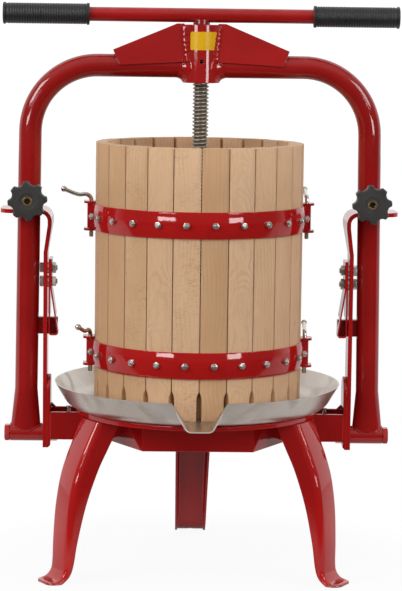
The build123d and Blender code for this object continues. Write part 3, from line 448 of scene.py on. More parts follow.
@dataclass(frozen=True)
class Beech(Finish):
    """Planed beech: each stave has its own tone, growth rings and ray flecks, with end grain at its ends."""

    label: str = "beech"
    light: Colour = (0.684, 0.444, 0.270)
    tan: Colour = (0.532, 0.310, 0.158)
    ring: Colour = (0.400, 0.225, 0.112)
    fleck: Colour = (0.345, 0.175, 0.085)
    end_light: Colour = (0.62, 0.41, 0.255)
    end_dark: Colour = (0.46, 0.285, 0.165)
    soiled: Colour = (0.40, 0.27, 0.18)
    rubbed: Colour = (0.44, 0.28, 0.165)
    staves: float = 24.0
    radius: float = 0.141
    order: float = 7816.5
    boards: bool = False
    offset_reach: float = 7.0
    flat_sawn: Pair = (0.80, 0.82)
    quarter_sawn: Pair = (0.48, 0.50)
    ring_rate: float = 1150.0
    ring_sway: float = 0.022
    ring_phase: float = 9.0
    arch_rate: float = 34000.0
    arch_rise: float = 210.0
    arch_sway: float = 95.0
    arch_shift: float = 0.010
    dash_squeeze: float = 0.24
    dash_share: float = 0.42
    speck_squeeze: float = 0.22
    speck_share: float = 0.20
    layer_rate: float = 1900.0
    layer_share: float = 0.12
    fibre_squeeze: float = 0.02
    tone_share: float = 0.80
    cloud_share: float = 0.60
    grain_share: float = 0.22
    grain_depth: float = 0.0003
    ring_relief: float = 0.35
    ior: float = 1.40

    def piece_place(self, graph: Graph) -> tuple[Socket, Socket, Socket, Socket]:
        """Find which stave a point is on, and where on it.

        Args:
            graph: The material's graph.

        Returns:
            The stave's number, and the point's place across, through and along it, in metres.
        """
        x, y, z = graph.parts(graph.place())
        if self.boards:
            return graph.math("SIGN", y), y, z, x
        turn = graph.math("DIVIDE", graph.math("ARCTAN2", y, x), math.tau / self.staves)
        number = graph.math("FLOOR", turn)
        share = graph.minus(graph.math("FRACT", turn), 0.5)
        across = graph.times(share, math.tau / self.staves * self.radius)
        return number, across, graph.from_axis(x, y), z

    def rings(self, graph: Graph, spot: tuple[Socket, ...], tone: Socket, arched: Socket) -> Socket:
        """Draw growth rings: straight lines on most staves, nested arches on flat-sawn ones.

        Args:
            graph: The material's graph.
            spot: The stave's own offset, and the place across and along it.
            tone: The stave's tone, which also moves the middle of its arches.
            arched: 1 on flat-sawn staves.

        Returns:
            The rings' share, from 0 to 1.
        """
        offset, across, along = spot
        bend = graph.minus(graph.noise(graph.join(across, offset, along), 9.0, 3.0), 0.5)
        lean = graph.plus(across, graph.times(bend, self.ring_sway))
        straight = graph.times(lean, self.ring_rate)
        middle = graph.minus(across, graph.times(graph.minus(tone, 0.5), self.arch_shift))
        arch = graph.times(graph.times(middle, middle), self.arch_rate)
        rise = graph.plus(graph.times(along, self.arch_rise), graph.times(bend, self.arch_sway))
        course = graph.plus(graph.times(straight, graph.minus(1.0, arched)),
                            graph.times(graph.plus(arch, rise), arched))
        waves = graph.math("SINE", graph.plus(course, graph.times(offset, self.ring_phase)))
        return graph.span(waves, -0.2, 1.0)

    def flecks(self, graph: Graph, spot: tuple[Socket, ...], quartered: Socket) -> Socket:
        """Draw ray flecks, which are wide dashes on quarter-sawn staves and short specks on the others.

        Args:
            graph: The material's graph.
            spot: The stave's own offset, and the place across and along it.
            quartered: 1 on quarter-sawn staves.

        Returns:
            The flecks' share, from 0 to 1.
        """
        offset, across, along = spot
        wide = graph.join(graph.times(across, self.dash_squeeze), offset, along)
        dashes = graph.span(graph.noise(wide, 760.0, 1.0), 0.50, 0.68)
        zones = graph.span(graph.noise(graph.join(across, offset, along), 26.0, 3.0), 0.40, 0.66, 0.15, 1.0)
        dashes = graph.times(graph.times(dashes, zones), quartered)
        thin = graph.join(across, offset, graph.times(along, self.speck_squeeze))
        specks = graph.span(graph.noise(thin, 800.0, 1.0), 0.62, 0.72)
        return graph.plus(graph.times(dashes, self.dash_share), graph.times(specks, self.speck_share))

    def sawn_ends(self, graph: Graph, wood: Socket, through: Socket) -> Socket:
        """Lay end grain over the faces that point up or down.

        Args:
            graph: The material's graph.
            wood: The colour of the long faces.
            through: The place through the stave.

        Returns:
            The colour's socket.
        """
        end = graph.span(graph.math("ABSOLUTE", graph.parts(graph.facing())["Z"]), 0.75, 0.95)
        pores = graph.noise(graph.place(), 1500.0, 3.0)
        layers = graph.math("SINE", graph.times(through, self.layer_rate))
        tone = graph.span(graph.plus(pores, graph.times(layers, self.layer_share)), 0.3, 0.8)
        return graph.blend(end, wood, graph.blend(tone, self.end_light, self.end_dark))

    def looks(self, graph: Graph) -> dict[str, Feed]:
        """Make colour, roughness and normal from rings, pores and flecks.

        Args:
            graph: The material's graph.

        Returns:
            What the shader's inputs get, by name.
        """
        number, across, through, along = self.piece_place(graph)
        draw = graph.add("TexWhiteNoise", noise_dimensions="1D")
        graph.feed(draw.inputs["W"], graph.plus(number, self.order))
        tone, shift, cut = graph.fill(graph.add("SeparateColor"), (draw.outputs["Color"],))
        offset = graph.times(shift, self.offset_reach)
        spot = (offset, across, along)
        arched = graph.span(cut, *self.flat_sawn)
        quartered = graph.minus(graph.span(cut, *self.quarter_sawn), arched)
        rings = self.rings(graph, spot, tone, arched)
        flecks = self.flecks(graph, spot, quartered)
        thin = graph.times(along, self.fibre_squeeze)
        fibre = graph.noise(graph.join(across, graph.plus(through, offset), thin), 1300.0, 4.0)
        cloud = graph.noise(graph.join(across, offset, graph.times(along, 0.4)), 45.0, 3.0)
        shade = graph.plus(graph.times(tone, self.tone_share), graph.times(cloud, self.cloud_share))
        wood = graph.blend(graph.span(shade, 0.15, 1.10), self.light, self.tan)
        bands = graph.noise(graph.join(across, offset, graph.times(along, 0.5)), 28.0, 2.0)
        fading = graph.span(bands, 0.38, 0.68, 0.05, 0.26)
        wood = graph.blend(graph.times(rings, fading), wood, self.ring)
        wood = graph.blend(graph.span(fibre, 0.48, 0.80, 0.0, 0.40), wood, self.ring)
        wood = graph.blend(flecks, wood, self.fleck)
        if not self.boards:
            wood = self.sawn_ends(graph, wood, through)
        smudge = graph.use(Effects.smudges(), scale=26.0, amount=0.10)["Mask"]
        wood = graph.blend(smudge, wood, self.soiled)
        edges = graph.use(Effects.edges(), width=0.0007, amount=0.4, scale=260.0)
        grain = graph.plus(fibre, graph.times(rings, self.ring_relief))
        return {"Base Color": graph.blend(edges["Mask"], wood, self.rubbed),
                "Roughness": graph.span(fibre, 0.2, 0.8, 0.52, 0.68),
                "Normal": graph.bump(grain, self.grain_share, self.grain_depth, edges["Normal"]),
                "IOR": self.ior}


@dataclass(frozen=True)
class Steel(Finish):
    """Bare or plated steel with fine marks, smudges and brighter rubbed edges."""

    label: str
    colour: Colour
    stain: Colour
    rough: float = 0.30
    spread: float = 0.14
    stretch: Triple = (1.0, 1.0, 1.0)
    stroke_scale: float = 900.0
    stroke_share: float = 0.10
    stroke_depth: float = 0.0002
    stain_amount: float = 0.5
    stain_scale: float = 30.0
    stain_rough: float = 0.22
    edge: float = 0.0006
    edge_gain: float = 1.3

    def looks(self, graph: Graph) -> dict[str, Feed]:
        """Make colour, roughness and normal.

        Args:
            graph: The material's graph.

        Returns:
            What the shader's inputs get, by name.
        """
        edges = graph.use(Effects.edges(), width=self.edge, amount=0.7, scale=300.0)
        stains = graph.use(Effects.smudges(), scale=self.stain_scale, amount=self.stain_amount)["Mask"]
        strokes = graph.use(Effects.strokes(), stretch=self.stretch, scale=self.stroke_scale)["Height"]
        tone = graph.use(Effects.mottle(), scale=14.0, low=0.0, high=0.35)["Value"]
        metal = graph.blend(tone, self.colour, self.stain)
        metal = graph.blend(graph.span(strokes, 0.3, 0.8, 0.0, 0.22), metal, self.stain)
        metal = graph.blend(stains, metal, self.stain)
        bright = tuple(min(1.0, channel * self.edge_gain) for channel in self.colour)
        marked = graph.span(strokes, 0.25, 0.75, self.rough, self.rough + self.spread)
        return {"Base Color": graph.blend(edges["Mask"], metal, bright),
                "Roughness": graph.plus(marked, graph.times(stains, self.stain_rough)),
                "Normal": graph.bump(strokes, self.stroke_share, self.stroke_depth, edges["Normal"]),
                "Metallic": 1.0}


@dataclass(frozen=True)
class Thread(Finish):
    """Oiled machined steel whose grooves hold dark, brownish oil."""

    label: str = "oiled_thread"
    crest: Colour = (0.47, 0.42, 0.35)
    groove: Colour = (0.120, 0.095, 0.068)
    marked: Colour = (0.20, 0.18, 0.15)
    root_radius: float = 0.0086
    crest_radius: float = 0.0108
    stretch: Triple = (0.15, 0.15, 1.0)
    mark_share: float = 0.15
    mark_depth: float = 0.0002
    metal: float = 0.75

    def looks(self, graph: Graph) -> dict[str, Feed]:
        """Make colour, roughness and normal by the depth in the thread.

        Args:
            graph: The material's graph.

        Returns:
            What the shader's inputs get, by name.
        """
        x, y, _ = graph.parts(graph.place())
        depth = graph.span(graph.from_axis(x, y), self.root_radius, self.crest_radius)
        oil = graph.use(Effects.smudges(), scale=70.0, amount=0.75)["Mask"]
        turned = graph.use(Effects.strokes(), stretch=self.stretch, scale=2600.0)["Height"]
        metal = graph.blend(depth, self.groove, self.crest)
        metal = graph.blend(graph.span(turned, 0.35, 0.75, 0.0, 0.35), metal, self.marked)
        return {"Base Color": graph.blend(oil, metal, self.groove),
                "Roughness": graph.span(turned, 0.3, 0.7, 0.34, 0.50),
                "Normal": graph.bump(turned, self.mark_share, self.mark_depth),
                "Metallic": self.metal}


@dataclass(frozen=True)
class Moulded(Finish):
    """Dark moulded rubber or plastic with a fine skin, pale scuffs on its edges and settled dust."""

    label: str
    colour: Colour
    scuff: Colour
    rough: float
    dust: float
    skin_scale: float = 1400.0
    skin_share: float = 0.25
    skin_depth: float = 0.0002
    smoother: float = 0.06
    rougher: float = 0.1
    edge: float = 0.0008
    edge_polish: float = 0.15
    dusty: Colour = (0.24, 0.23, 0.22)
    ior: float = 1.48

    def looks(self, graph: Graph) -> dict[str, Feed]:
        """Make colour, roughness and normal.

        Args:
            graph: The material's graph.

        Returns:
            What the shader's inputs get, by name.
        """
        edges = graph.use(Effects.edges(), width=self.edge, amount=0.6, scale=210.0)
        tone = graph.use(Effects.mottle(), scale=40.0, low=0.0, high=0.4)["Value"]
        dust = graph.use(Effects.dust(), amount=self.dust, scale=160.0)["Mask"]
        skin = graph.use(Effects.peel(), scale=self.skin_scale)["Height"]
        body = graph.blend(tone, self.colour, self.scuff)
        body = graph.blend(edges["Mask"], body, self.scuff)
        matt = graph.span(skin, 0.3, 0.9, self.rough - self.smoother, self.rough + self.rougher)
        return {"Base Color": graph.blend(dust, body, self.dusty),
                "Roughness": graph.minus(matt, graph.times(edges["Mask"], self.edge_polish)),
                "Normal": graph.bump(skin, self.skin_share, self.skin_depth, edges["Normal"]),
                "IOR": self.ior}


@dataclass(frozen=True)
class Foil(Finish):
    """Yellow vinyl patch, a little uneven, faded and smudged."""

    label: str = "yellow_vinyl"
    colour: Colour = (0.720, 0.395, 0.004)
    faded: Colour = (0.745, 0.430, 0.008)
    soiled: Colour = (0.35, 0.24, 0.08)
    skin_share: float = 0.10
    skin_depth: float = 0.0003
    ior: float = 1.33

    def looks(self, graph: Graph) -> dict[str, Feed]:
        """Make colour, roughness and normal.

        Args:
            graph: The material's graph.

        Returns:
            What the shader's inputs get, by name.
        """
        tone = graph.use(Effects.mottle(), scale=60.0, low=0.0, high=0.5)["Value"]
        smudge = graph.use(Effects.smudges(), scale=90.0, amount=0.05)["Mask"]
        skin = graph.use(Effects.peel(), scale=260.0)["Height"]
        vinyl = graph.blend(tone, self.colour, self.faded)
        return {"Base Color": graph.blend(smudge, vinyl, self.soiled),
                "Roughness": graph.span(skin, 0.3, 0.9, 0.22, 0.34),
                "Normal": graph.bump(skin, self.skin_share, self.skin_depth),
                "IOR": self.ior}


ENAMEL = Enamel()
# Darker copies of the same red enamel, as painted shade: deep for the tubes and the rear leg, mid for the
# yoke's other parts, the bar and the rails, darkest for the collar in the bar's shadow.
DEEP_SHADE_ENAMEL = Enamel("enamel_painted_deep_shade", (0.308, 0.0080, 0.0072), (0.248, 0.0052, 0.0048))
MID_SHADE_ENAMEL = Enamel("enamel_painted_mid_shade", (0.358, 0.0085, 0.0075), (0.288, 0.0055, 0.0050))
NECK_SHADOW_ENAMEL = Enamel("enamel_painted_neck_shadow", (0.250, 0.0080, 0.0072), (0.200, 0.0052, 0.0048), gloss=0.16)
BEECH = Beech()
BOARD = Beech("beech_board", boards=True)
STAINLESS = Steel("stainless_sheet", (0.64, 0.592, 0.538), (0.43, 0.372, 0.315), rough=0.31, spread=0.06,
                  stretch=(0.04, 1.0, 0.25), stroke_scale=700.0, stroke_share=0.03, stain_amount=0.62,
                  stain_scale=17.0, edge=0.0003)
ZINC = Steel("zinc_plate", (0.70, 0.69, 0.66), (0.40, 0.38, 0.34), rough=0.24, spread=0.10,
             stroke_scale=1600.0, stain_scale=240.0)
PIN_STEEL = Steel("polished_pin", (0.74, 0.71, 0.66), (0.38, 0.34, 0.28), rough=0.16, spread=0.08,
                  stroke_scale=1300.0, stroke_share=0.05, stain_scale=120.0, stain_amount=0.35)
CAST = Steel("machined_iron", (0.30, 0.29, 0.28), (0.14, 0.12, 0.10), rough=0.38, stroke_scale=1200.0,
             stain_scale=90.0)
STUD_STEEL = Steel("blackened_stud", (0.060, 0.054, 0.048), (0.025, 0.022, 0.020), rough=0.42,
                   stroke_scale=1500.0, stain_scale=200.0)
FOOT_STEEL = Steel("oiled_foot", (0.40, 0.38, 0.34), (0.16, 0.13, 0.10), rough=0.32, stroke_scale=1000.0,
                   stain_scale=60.0)
BRASS = Steel("turned_brass", (0.66, 0.43, 0.16), (0.28, 0.15, 0.05), rough=0.22, stroke_scale=1700.0,
              stain_scale=260.0)
THREAD = Thread()
RUBBER = Moulded("grip_rubber", (0.011, 0.011, 0.012), (0.023, 0.023, 0.025), rough=0.42, dust=0.06,
                 skin_scale=900.0)
PLASTIC = Moulded("knob_plastic", (0.026, 0.024, 0.023), (0.058, 0.055, 0.052), rough=0.44, dust=0.08)
FOIL = Foil()


def polar(radius: float, turn: float, along: float) -> Vector:
    """Give the point at a radius and a turn about the Z axis."""
    return Vector((radius * math.cos(turn), radius * math.sin(turn), along))


def full_turn(steps: int) -> list[float]:
    """Give evenly spaced angles once round."""
    return [math.tau * k / steps for k in range(steps)]


def quarter_turn(steps: int) -> list[float]:
    """Give evenly spaced angles from nothing to a right angle."""
    return [math.pi / 2 * k / steps for k in range(steps + 1)]


def link(name: str, data: bpy.types.ID) -> Piece:
    """Make an object and link it into the scene.

    Args:
        name: The object's name.
        data: Its mesh, lamp or camera.

    Returns:
        The new object.
    """
    made = bpy.data.objects.new(name, data)
    bpy.context.scene.collection.objects.link(made)
    return made


def place_mesh(mesh: bmesh.types.BMesh, name: str, sharp: float) -> Piece:
    """Put a finished mesh into the scene, smooth between its crisp edges.

    Args:
        mesh: The mesh, in metres. It is freed.
        name: The object's name.
        sharp: Edges that turn by more than this many degrees stay crisp.

    Returns:
        The new object.
    """
    data = bpy.data.meshes.new(name)
    mesh.to_mesh(data)
    mesh.free()
    data.polygons.foreach_set("use_smooth", [True] * len(data.polygons))
    data.set_sharp_from_angle(angle=math.radians(sharp))
    return link(name, data)


class Shape:
    """A mesh under construction, in millimetres, which becomes one piece of the scene."""

    HEX_FACETS = 36
    HEX_FACE = 0.95
    HEX_FALL = math.tan(math.radians(30))
    # Share of the pitch, and share of the ridge's height.
    RIDGE = ((0.25, 0.0), (0.5, 1.0), (0.62, 1.0), (0.9, 0.0))
    RIDGE_DEPTH = 0.45
    STUD_FACETS = 24
    STUD_SHOULDER = 0.96
    BEAD_FACETS = 8
    BEAD_MEAN = 0.86
    BEAD_RIPPLE = 0.22
    BEAD_STEP = 1.9
    BEAD_UNEVEN = 0.10
    BEAD_END = 0.35
    # Height and radius of a drop's outline, as shares of its radius.
    DROP = ((-0.4, 0.0), (-0.4, 0.8), (0.0, 1.0), (0.35, 0.85), (0.6, 0.5), (0.68, 0.2), (0.68, 0.0))
    DROP_FACETS = 10

    def __init__(self) -> None:
        """Start with no faces."""
        self.mesh = bmesh.new()

    def loft(self, rings: Sequence[Sequence[Vector]], closed: bool = False) -> None:
        """Skin a row of closed rings that have the same number of points.

        Args:
            rings: The rings in order.
            closed: Whether the last ring joins the first one. Otherwise both ends are capped.
        """
        rows = [[self.mesh.verts.new(point) for point in ring] for ring in rings]
        count = len(rows[0])
        pairs = list(zip(rows, rows[1:])) + ([(rows[-1], rows[0])] if closed else [])
        for low, high in pairs:
            for k in range(count):
                after = (k + 1) % count
                self.mesh.faces.new((low[k], low[after], high[after], high[k]))
        if not closed:
            self.mesh.faces.new(list(reversed(rows[0])))
            self.mesh.faces.new(rows[-1])

    def lathe(self, outline: Sequence[Pair], place: Matrix, segments: int) -> None:
        """Turn an outline about its axis.

        Args:
            outline: Distance along the axis and radius, from one end to the other. A first and a last
                radius of 0 close the piece; otherwise the outline is joined end to end.
            place: Where the axis, local Z, goes.
            segments: Number of facets round the axis.
        """
        capped = outline[0][1] == 0.0
        rings = [[place @ polar(radius, turn, along) for turn in full_turn(segments)]
                 for along, radius in (outline[1:-1] if capped else outline)]
        self.loft(rings, closed=not capped)

    def rod(self, place: Matrix, radius: float, start: float, end: float, segments: int) -> None:
        """Add a plain round rod along local Z from start to end."""
        self.lathe([(start, 0.0), (start, radius), (end, radius), (end, 0.0)], place, segments)

    def hexagon(self, place: Matrix, across: float, height: float, bore: float = 0.0) -> None:
        """Add a hexagon head or nut whose corners are turned down to a cone at both ends.

        Args:
            place: Where it goes; it stands on the local XY plane.
            across: Width across the flats.
            height: Height along local Z.
            bore: Radius of the hole, or 0 for a head.
        """
        face = across / 2 * self.HEX_FACE
        outline = []
        for turn in full_turn(self.HEX_FACETS):
            from_flat = abs((math.degrees(turn) % 60) - 30)
            outline.append((turn, across / 2 / math.cos(math.radians(from_flat))))
        rows = [[(t, bore, z) for t, _ in outline] for z in (height, 0.0)] if bore else []
        rows.append([(t, face, 0.0) for t, _ in outline])
        rows.append([(t, r, (r - face) * self.HEX_FALL) for t, r in outline])
        rows.append([(t, r, height - (r - face) * self.HEX_FALL) for t, r in outline])
        rows.append([(t, face, height) for t, _ in outline])
        self.loft([[place @ polar(r, t, z) for t, r, z in row] for row in rows], closed=bool(bore))

    def stud(self, place: Matrix, radius: float, length: float, pitch: float, tip: float) -> None:
        """Add a threaded rod with rounded ridges and a tapered tip.

        Args:
            place: Where it starts; it runs along local Z.
            radius: Outer radius of the thread.
            length: Full length with the tip.
            pitch: Distance between two ridges.
            tip: Length of the taper at the end.
        """
        groove = radius - self.RIDGE_DEPTH * pitch
        outline = [(0.0, 0.0), (0.0, groove)]
        for ridge in range(int((length - tip) / pitch)):
            outline += [((ridge + at) * pitch, groove + rise * (radius - groove)) for at, rise in self.RIDGE]
        outline += [(length - tip, radius * self.STUD_SHOULDER), (length, radius - tip), (length, 0.0)]
        self.lathe(outline, place, self.STUD_FACETS)

    def bead(self, path: Sequence[Vector], radius: float, draw: random.Random, closed: bool = False) -> None:
        """Lay a rippled weld bead along a path.

        Args:
            path: Points a little over a millimetre apart.
            radius: Mean radius of the bead.
            draw: Source of the ripples' unevenness.
            closed: Whether the path is a loop.
        """
        rings = []
        last = len(path) - 1
        for k, point in enumerate(path):
            before = path[k - 1] if k or closed else path[0]
            after = path[(k + 1) % len(path)] if k < last or closed else path[last]
            ahead = (after - before).normalized()
            side = ahead.orthogonal().normalized()
            up = ahead.cross(side)
            ripple = self.BEAD_MEAN + self.BEAD_RIPPLE * math.sin(k * self.BEAD_STEP) ** 2
            size = radius * (ripple + draw.uniform(-self.BEAD_UNEVEN, self.BEAD_UNEVEN))
            if not closed and k in (0, last):
                size *= self.BEAD_END
            rings.append([point + side * size * math.cos(t) + up * size * math.sin(t)
                          for t in full_turn(self.BEAD_FACETS)])
        self.loft(rings, closed=closed)

    def drop(self, centre: Vector, out: Vector, radius: float) -> None:
        """Add a flattened drop of weld spatter that sits on a surface.

        Args:
            centre: The point on the surface.
            out: The surface's outward direction.
            radius: The drop's radius.
        """
        place = Matrix.Translation(centre) @ out.to_track_quat("Z", "Y").to_matrix().to_4x4()
        self.lathe([(along * radius, wide * radius) for along, wide in self.DROP], place, self.DROP_FACETS)

    def piece(self, name: str, sharp: float = 32.0) -> Piece:
        """Finish the mesh.

        Args:
            name: The piece's name.
            sharp: Edges that turn by more than this many degrees stay crisp.

        Returns:
            The new object, in metres and in the frame of the solids.
        """
        bmesh.ops.recalc_face_normals(self.mesh, faces=self.mesh.faces)
        bmesh.ops.scale(self.mesh, vec=(MM, MM, MM), verts=self.mesh.verts)
        return place_mesh(self.mesh, name, sharp)


def settle(piece: Piece, body: str, finish: Finish, nodes: Iterable[str] = ()) -> None:
    """Dress a new piece and tie it to the frame.

    Args:
        piece: The piece, in its place.
        body: The body that it rides on.
        finish: Its finish.
        nodes: The solids that it stands for.
    """
    piece.data.materials.clear()
    piece.data.materials.append(finish.material())
    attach(piece, body)
    if nodes:
        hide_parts(*nodes)
    LOG.info("%s: %d faces on %s", piece.name, len(piece.data.polygons), body)


def dress(finish: Finish, *nodes: str) -> None:
    """Give carried-over solids a finish.

    Args:
        finish: The finish.
        nodes: The solids' names.
    """
    for node in nodes:
        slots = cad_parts[node].data.materials
        slots.clear()
        slots.append(finish.material())
        LOG.info("%s: %s", node, finish.label)


def bake_modifiers(piece: Piece) -> None:
    """Replace a piece's mesh by what its modifiers make of it.

    Args:
        piece: The piece, which keeps no modifiers.
    """
    bpy.context.view_layer.update()
    whole = piece.evaluated_get(bpy.context.evaluated_depsgraph_get())
    data = bpy.data.meshes.new_from_object(whole)
    piece.modifiers.clear()
    piece.data = data


def soften(node: str, width: float) -> Piece:
    """Copy a solid with its sharp edges rounded.

    Args:
        node: The solid's name.
        width: Size of the rounding, in millimetres.

    Returns:
        The new object.
    """
    same_point, flat_turn, sharp_turn, area_weight = 2e-6, 0.4, 38.0, 90
    mesh = bmesh.new()
    mesh.from_mesh(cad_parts[node].data)
    bmesh.ops.remove_doubles(mesh, verts=mesh.verts, dist=same_point)
    bmesh.ops.dissolve_limit(mesh, angle_limit=math.radians(flat_turn), verts=mesh.verts, edges=mesh.edges,
                             use_dissolve_boundaries=False)
    crisp = [edge for edge in mesh.edges
             if len(edge.link_faces) == 2 and edge.calc_face_angle() > math.radians(sharp_turn)]
    bmesh.ops.bevel(mesh, geom=crisp, offset=width * MM, offset_type="OFFSET", segments=2, profile=0.5,
                    affect="EDGES", clamp_overlap=True)
    made = place_mesh(mesh, node + "_rounded", sharp_turn)
    even = made.modifiers.new("even_normals", "WEIGHTED_NORMAL")
    even.keep_sharp = True
    even.weight = area_weight
    bake_modifiers(made)
    return made


def along_x(side: int, x: float, y: float, z: float) -> Matrix:
    """Give a placement whose local Z points outwards along X on one side of the press."""
    return Matrix.Translation((side * x, y, z)) @ Matrix.Rotation(side * math.pi / 2, 4, "Y")


def smooth_curve(points: Sequence[Pair], per_span: int) -> list[Vector]:
    """Run a smooth curve through points of a plane.

    Args:
        points: The points in order.
        per_span: Number of steps between two points.

    Returns:
        The curve's points.
    """
    knots = [Vector(point) for point in points]
    knots = [2 * knots[0] - knots[1]] + knots + [2 * knots[-1] - knots[-2]]
    curve = []
    for before, start, end, after in zip(knots, knots[1:], knots[2:], knots[3:]):
        reach = (end - start).length
        lean_in = (end - before).normalized() * reach
        lean_out = (after - start).normalized() * reach
        for step in range(per_span):
            t = step / per_span
            curve.append(start * (2 * t ** 3 - 3 * t ** 2 + 1) + lean_in * (t ** 3 - 2 * t ** 2 + t)
                         + end * (3 * t ** 2 - 2 * t ** 3) + lean_out * (t ** 3 - t ** 2))
    return curve + [knots[-2]]


def direction_at(line: Sequence[Vector], k: int) -> Vector:
    """Give the direction of a line at one of its points."""
    return (line[min(k + 1, len(line) - 1)] - line[max(k - 1, 0)]).normalized()


def ray_length(start: Vector, way: Vector, line: Sequence[Vector], longest: float) -> float:
    """Measure from a point along a direction to a line in the same plane.

    Args:
        start: The point.
        way: The direction, of length 1.
        line: The line's points.
        longest: What to give if the line isn't met.

    Returns:
        The shortest distance.
    """
    parallel, nearest, slack = 1e-9, 0.05, 1e-6
    found = longest
    for a, b in zip(line, line[1:]):
        run = b - a
        spread = way.x * run.y - way.y * run.x
        if abs(spread) < parallel:
            continue
        gap = a - start
        along = (gap.x * run.y - gap.y * run.x) / spread
        share = (gap.x * way.y - gap.y * way.x) / spread
        if along > nearest and -slack <= share <= 1 + slack:
            found = min(found, along)
    return found


def drill(piece: Piece, centre: Vector, radius: float, depth: float) -> None:
    """Cut an upright round hole through a piece.

    Args:
        piece: The piece, in metres.
        centre: The hole's middle, in millimetres.
        radius: The hole's radius, in millimetres.
        depth: The cutter's length, in millimetres.
    """
    shape = Shape()
    shape.rod(Matrix.Translation(centre), radius, -depth / 2, depth / 2, 32)
    cutter = shape.piece("cutter")
    cut = piece.modifiers.new("hole", "BOOLEAN")
    cut.operation, cut.solver, cut.object = "DIFFERENCE", "EXACT", cutter
    bake_modifiers(piece)
    bpy.data.objects.remove(cutter)


@dataclass
class Basket:
    """The slatted basket: staves, hoops, their bolts, and the clasp pins. Sizes in millimetres."""

    count: int = 24
    bore: float = 125.0
    outside: float = 141.0
    bottom: float = 224.4
    height: float = 360.0
    uneven_tops: float = 0.5
    gap_outside: float = 1.0
    gap_inside: float = 3.5
    relief_height: float = 44.0
    relief_depth: float = 3.4
    relief_runout: float = 18.0
    relief_step: float = 1.5
    relief_steps: int = 10
    straight_levels: tuple[float, ...] = (8.0, 18.0)
    plain_levels: tuple[float, ...] = (60.0, 120.0, 180.0, 240.0, 300.0)
    knee: float = 0.9
    rounding: float = 0.7
    inner_rounding: float = 0.6
    inner_chord: float = 8.0
    end_rounding: float = 0.5
    end_slope: float = 0.8
    end_middle: float = 9.0
    hoop_levels: tuple[float, float] = (74.0, 259.0)
    bolt_seat: float = 123.91
    nut_seat: float = 145.04
    nut_across: float = 8.0
    nut_height: float = 4.0
    bore_slack: float = 0.1
    bolt_radius: float = 2.5
    bolt_pitch: float = 0.8
    bolt_taper: float = 0.7
    bolt_tip: float = 1.8
    bolt_sink: float = 1.0
    head_radius: float = 5.5
    # Distance along the bolt, and share of the head's radius.
    head: tuple[Pair, ...] = ((1.0, 0.0), (1.0, 0.4), (0.0, 0.9), (-0.5, 1.0), (-1.2, 0.84), (-1.8, 0.5),
                               (-2.2, 0.15), (-2.2, 0.0))
    band_end: float = 4.88
    weld_lift: float = 1.6
    weld_lean: float = 0.05
    weld_half: float = 15.0
    weld_step: float = 1.5
    weld_points: int = 21
    weld_radius: float = 1.3
    # Hoop, side, and where the pin's handle points, in degrees from +X.
    pins: tuple[tuple[str, str, float], ...] = (("lower", "left", 245.0), ("lower", "right", 88.0),
                                                ("upper", "left", 185.0), ("upper", "right", 92.0))
    pin_distance: float = 146.8
    pin_radius: float = 2.9
    pin_foot: float = 29.1
    pin_chamfer: float = 0.8
    pin_end: float = 0.78
    pin_rise: float = 29.1
    pin_bend: float = 8.8
    pin_sag: float = 0.5
    pin_waist: float = 0.66
    pin_handle: float = 27.5
    pin_tip: float = 12.0
    pin_tip_rise: float = 35.0
    pin_ball: float = 4.2
    pin_facets: int = 20
    draw: random.Random = field(default_factory=lambda: random.Random(11))

    def stave_half_width(self, level: float) -> float:
        """Give half the width that the relief leaves.

        Args:
            level: Height above the stave's foot.

        Returns:
            Half the stave's outer width.
        """
        half = math.radians(180 / self.count) - math.asin(self.gap_outside / 2 / self.outside)
        full = self.outside * math.sin(half)
        shoulder = self.relief_height - self.relief_runout
        if level <= shoulder:
            return full - self.relief_depth
        swing = 2 * self.relief_depth
        radius = (swing ** 2 + self.relief_runout ** 2) / (2 * swing)
        rise = min(level - shoulder, self.relief_runout)
        return min(full, full - self.relief_depth + radius - math.sqrt(radius ** 2 - rise ** 2))

    def stave_section(self, level: float) -> list[Pair]:
        """Give a stave's outline at one height.

        Args:
            level: Height above the stave's foot.

        Returns:
            Radial and tangential distances of the outline's points.
        """
        def on_circle(radius: float, across: float) -> Pair:
            """Give the point of a circle at a tangential distance."""
            return (math.sqrt(radius ** 2 - across ** 2), across)

        full = self.stave_half_width(self.height)
        wide = self.stave_half_width(level)
        half_inside = math.radians(180 / self.count) - math.asin(self.gap_inside / 2 / self.bore)
        inner = (self.bore * math.cos(half_inside), self.bore * math.sin(half_inside))
        outer_full = on_circle(self.outside, full)
        share = self.knee if wide >= full else (wide - inner[1]) / (full - inner[1])
        knee = tuple(a + share * (b - a) for a, b in zip(inner, outer_full))
        corner = on_circle(self.outside, wide)
        gap = math.hypot(corner[0] - knee[0], corner[1] - knee[1])
        cut = min(self.rounding, 0.45 * gap) / gap
        below = tuple(c + cut * (k - c) for c, k in zip(corner, knee))
        ends = wide - self.rounding
        beside = on_circle(self.outside, ends)
        soft = tuple(0.4 * c + 0.3 * (b + s) for c, b, s in zip(corner, below, beside))
        right = [soft, below, knee, (inner[0] + self.inner_rounding, inner[1]),
                 (inner[0] + 0.1, inner[1] - self.inner_rounding)]
        arc = [on_circle(self.outside, ends * k / 4) for k in range(-4, 5)]
        back = [on_circle(self.bore, across) for across in (self.inner_chord, 0.0, -self.inner_chord)]
        return arc + right + back + [(r, -t) for r, t in reversed(right)]

    def sawn_section(self, level: float) -> list[Pair]:
        """Give a stave's outline at one of its ends, smaller all round by the rounding of the end.

        Args:
            level: Height above the stave's foot.

        Returns:
            Radial and tangential distances of the outline's points.
        """
        middle = (self.bore + self.outside) / 2
        slope = self.end_rounding * self.end_slope
        return [(r + (slope if r < middle else -slope),
                 t - math.copysign(self.end_rounding, t) * (abs(t) > self.end_middle))
                for r, t in self.stave_section(level)]

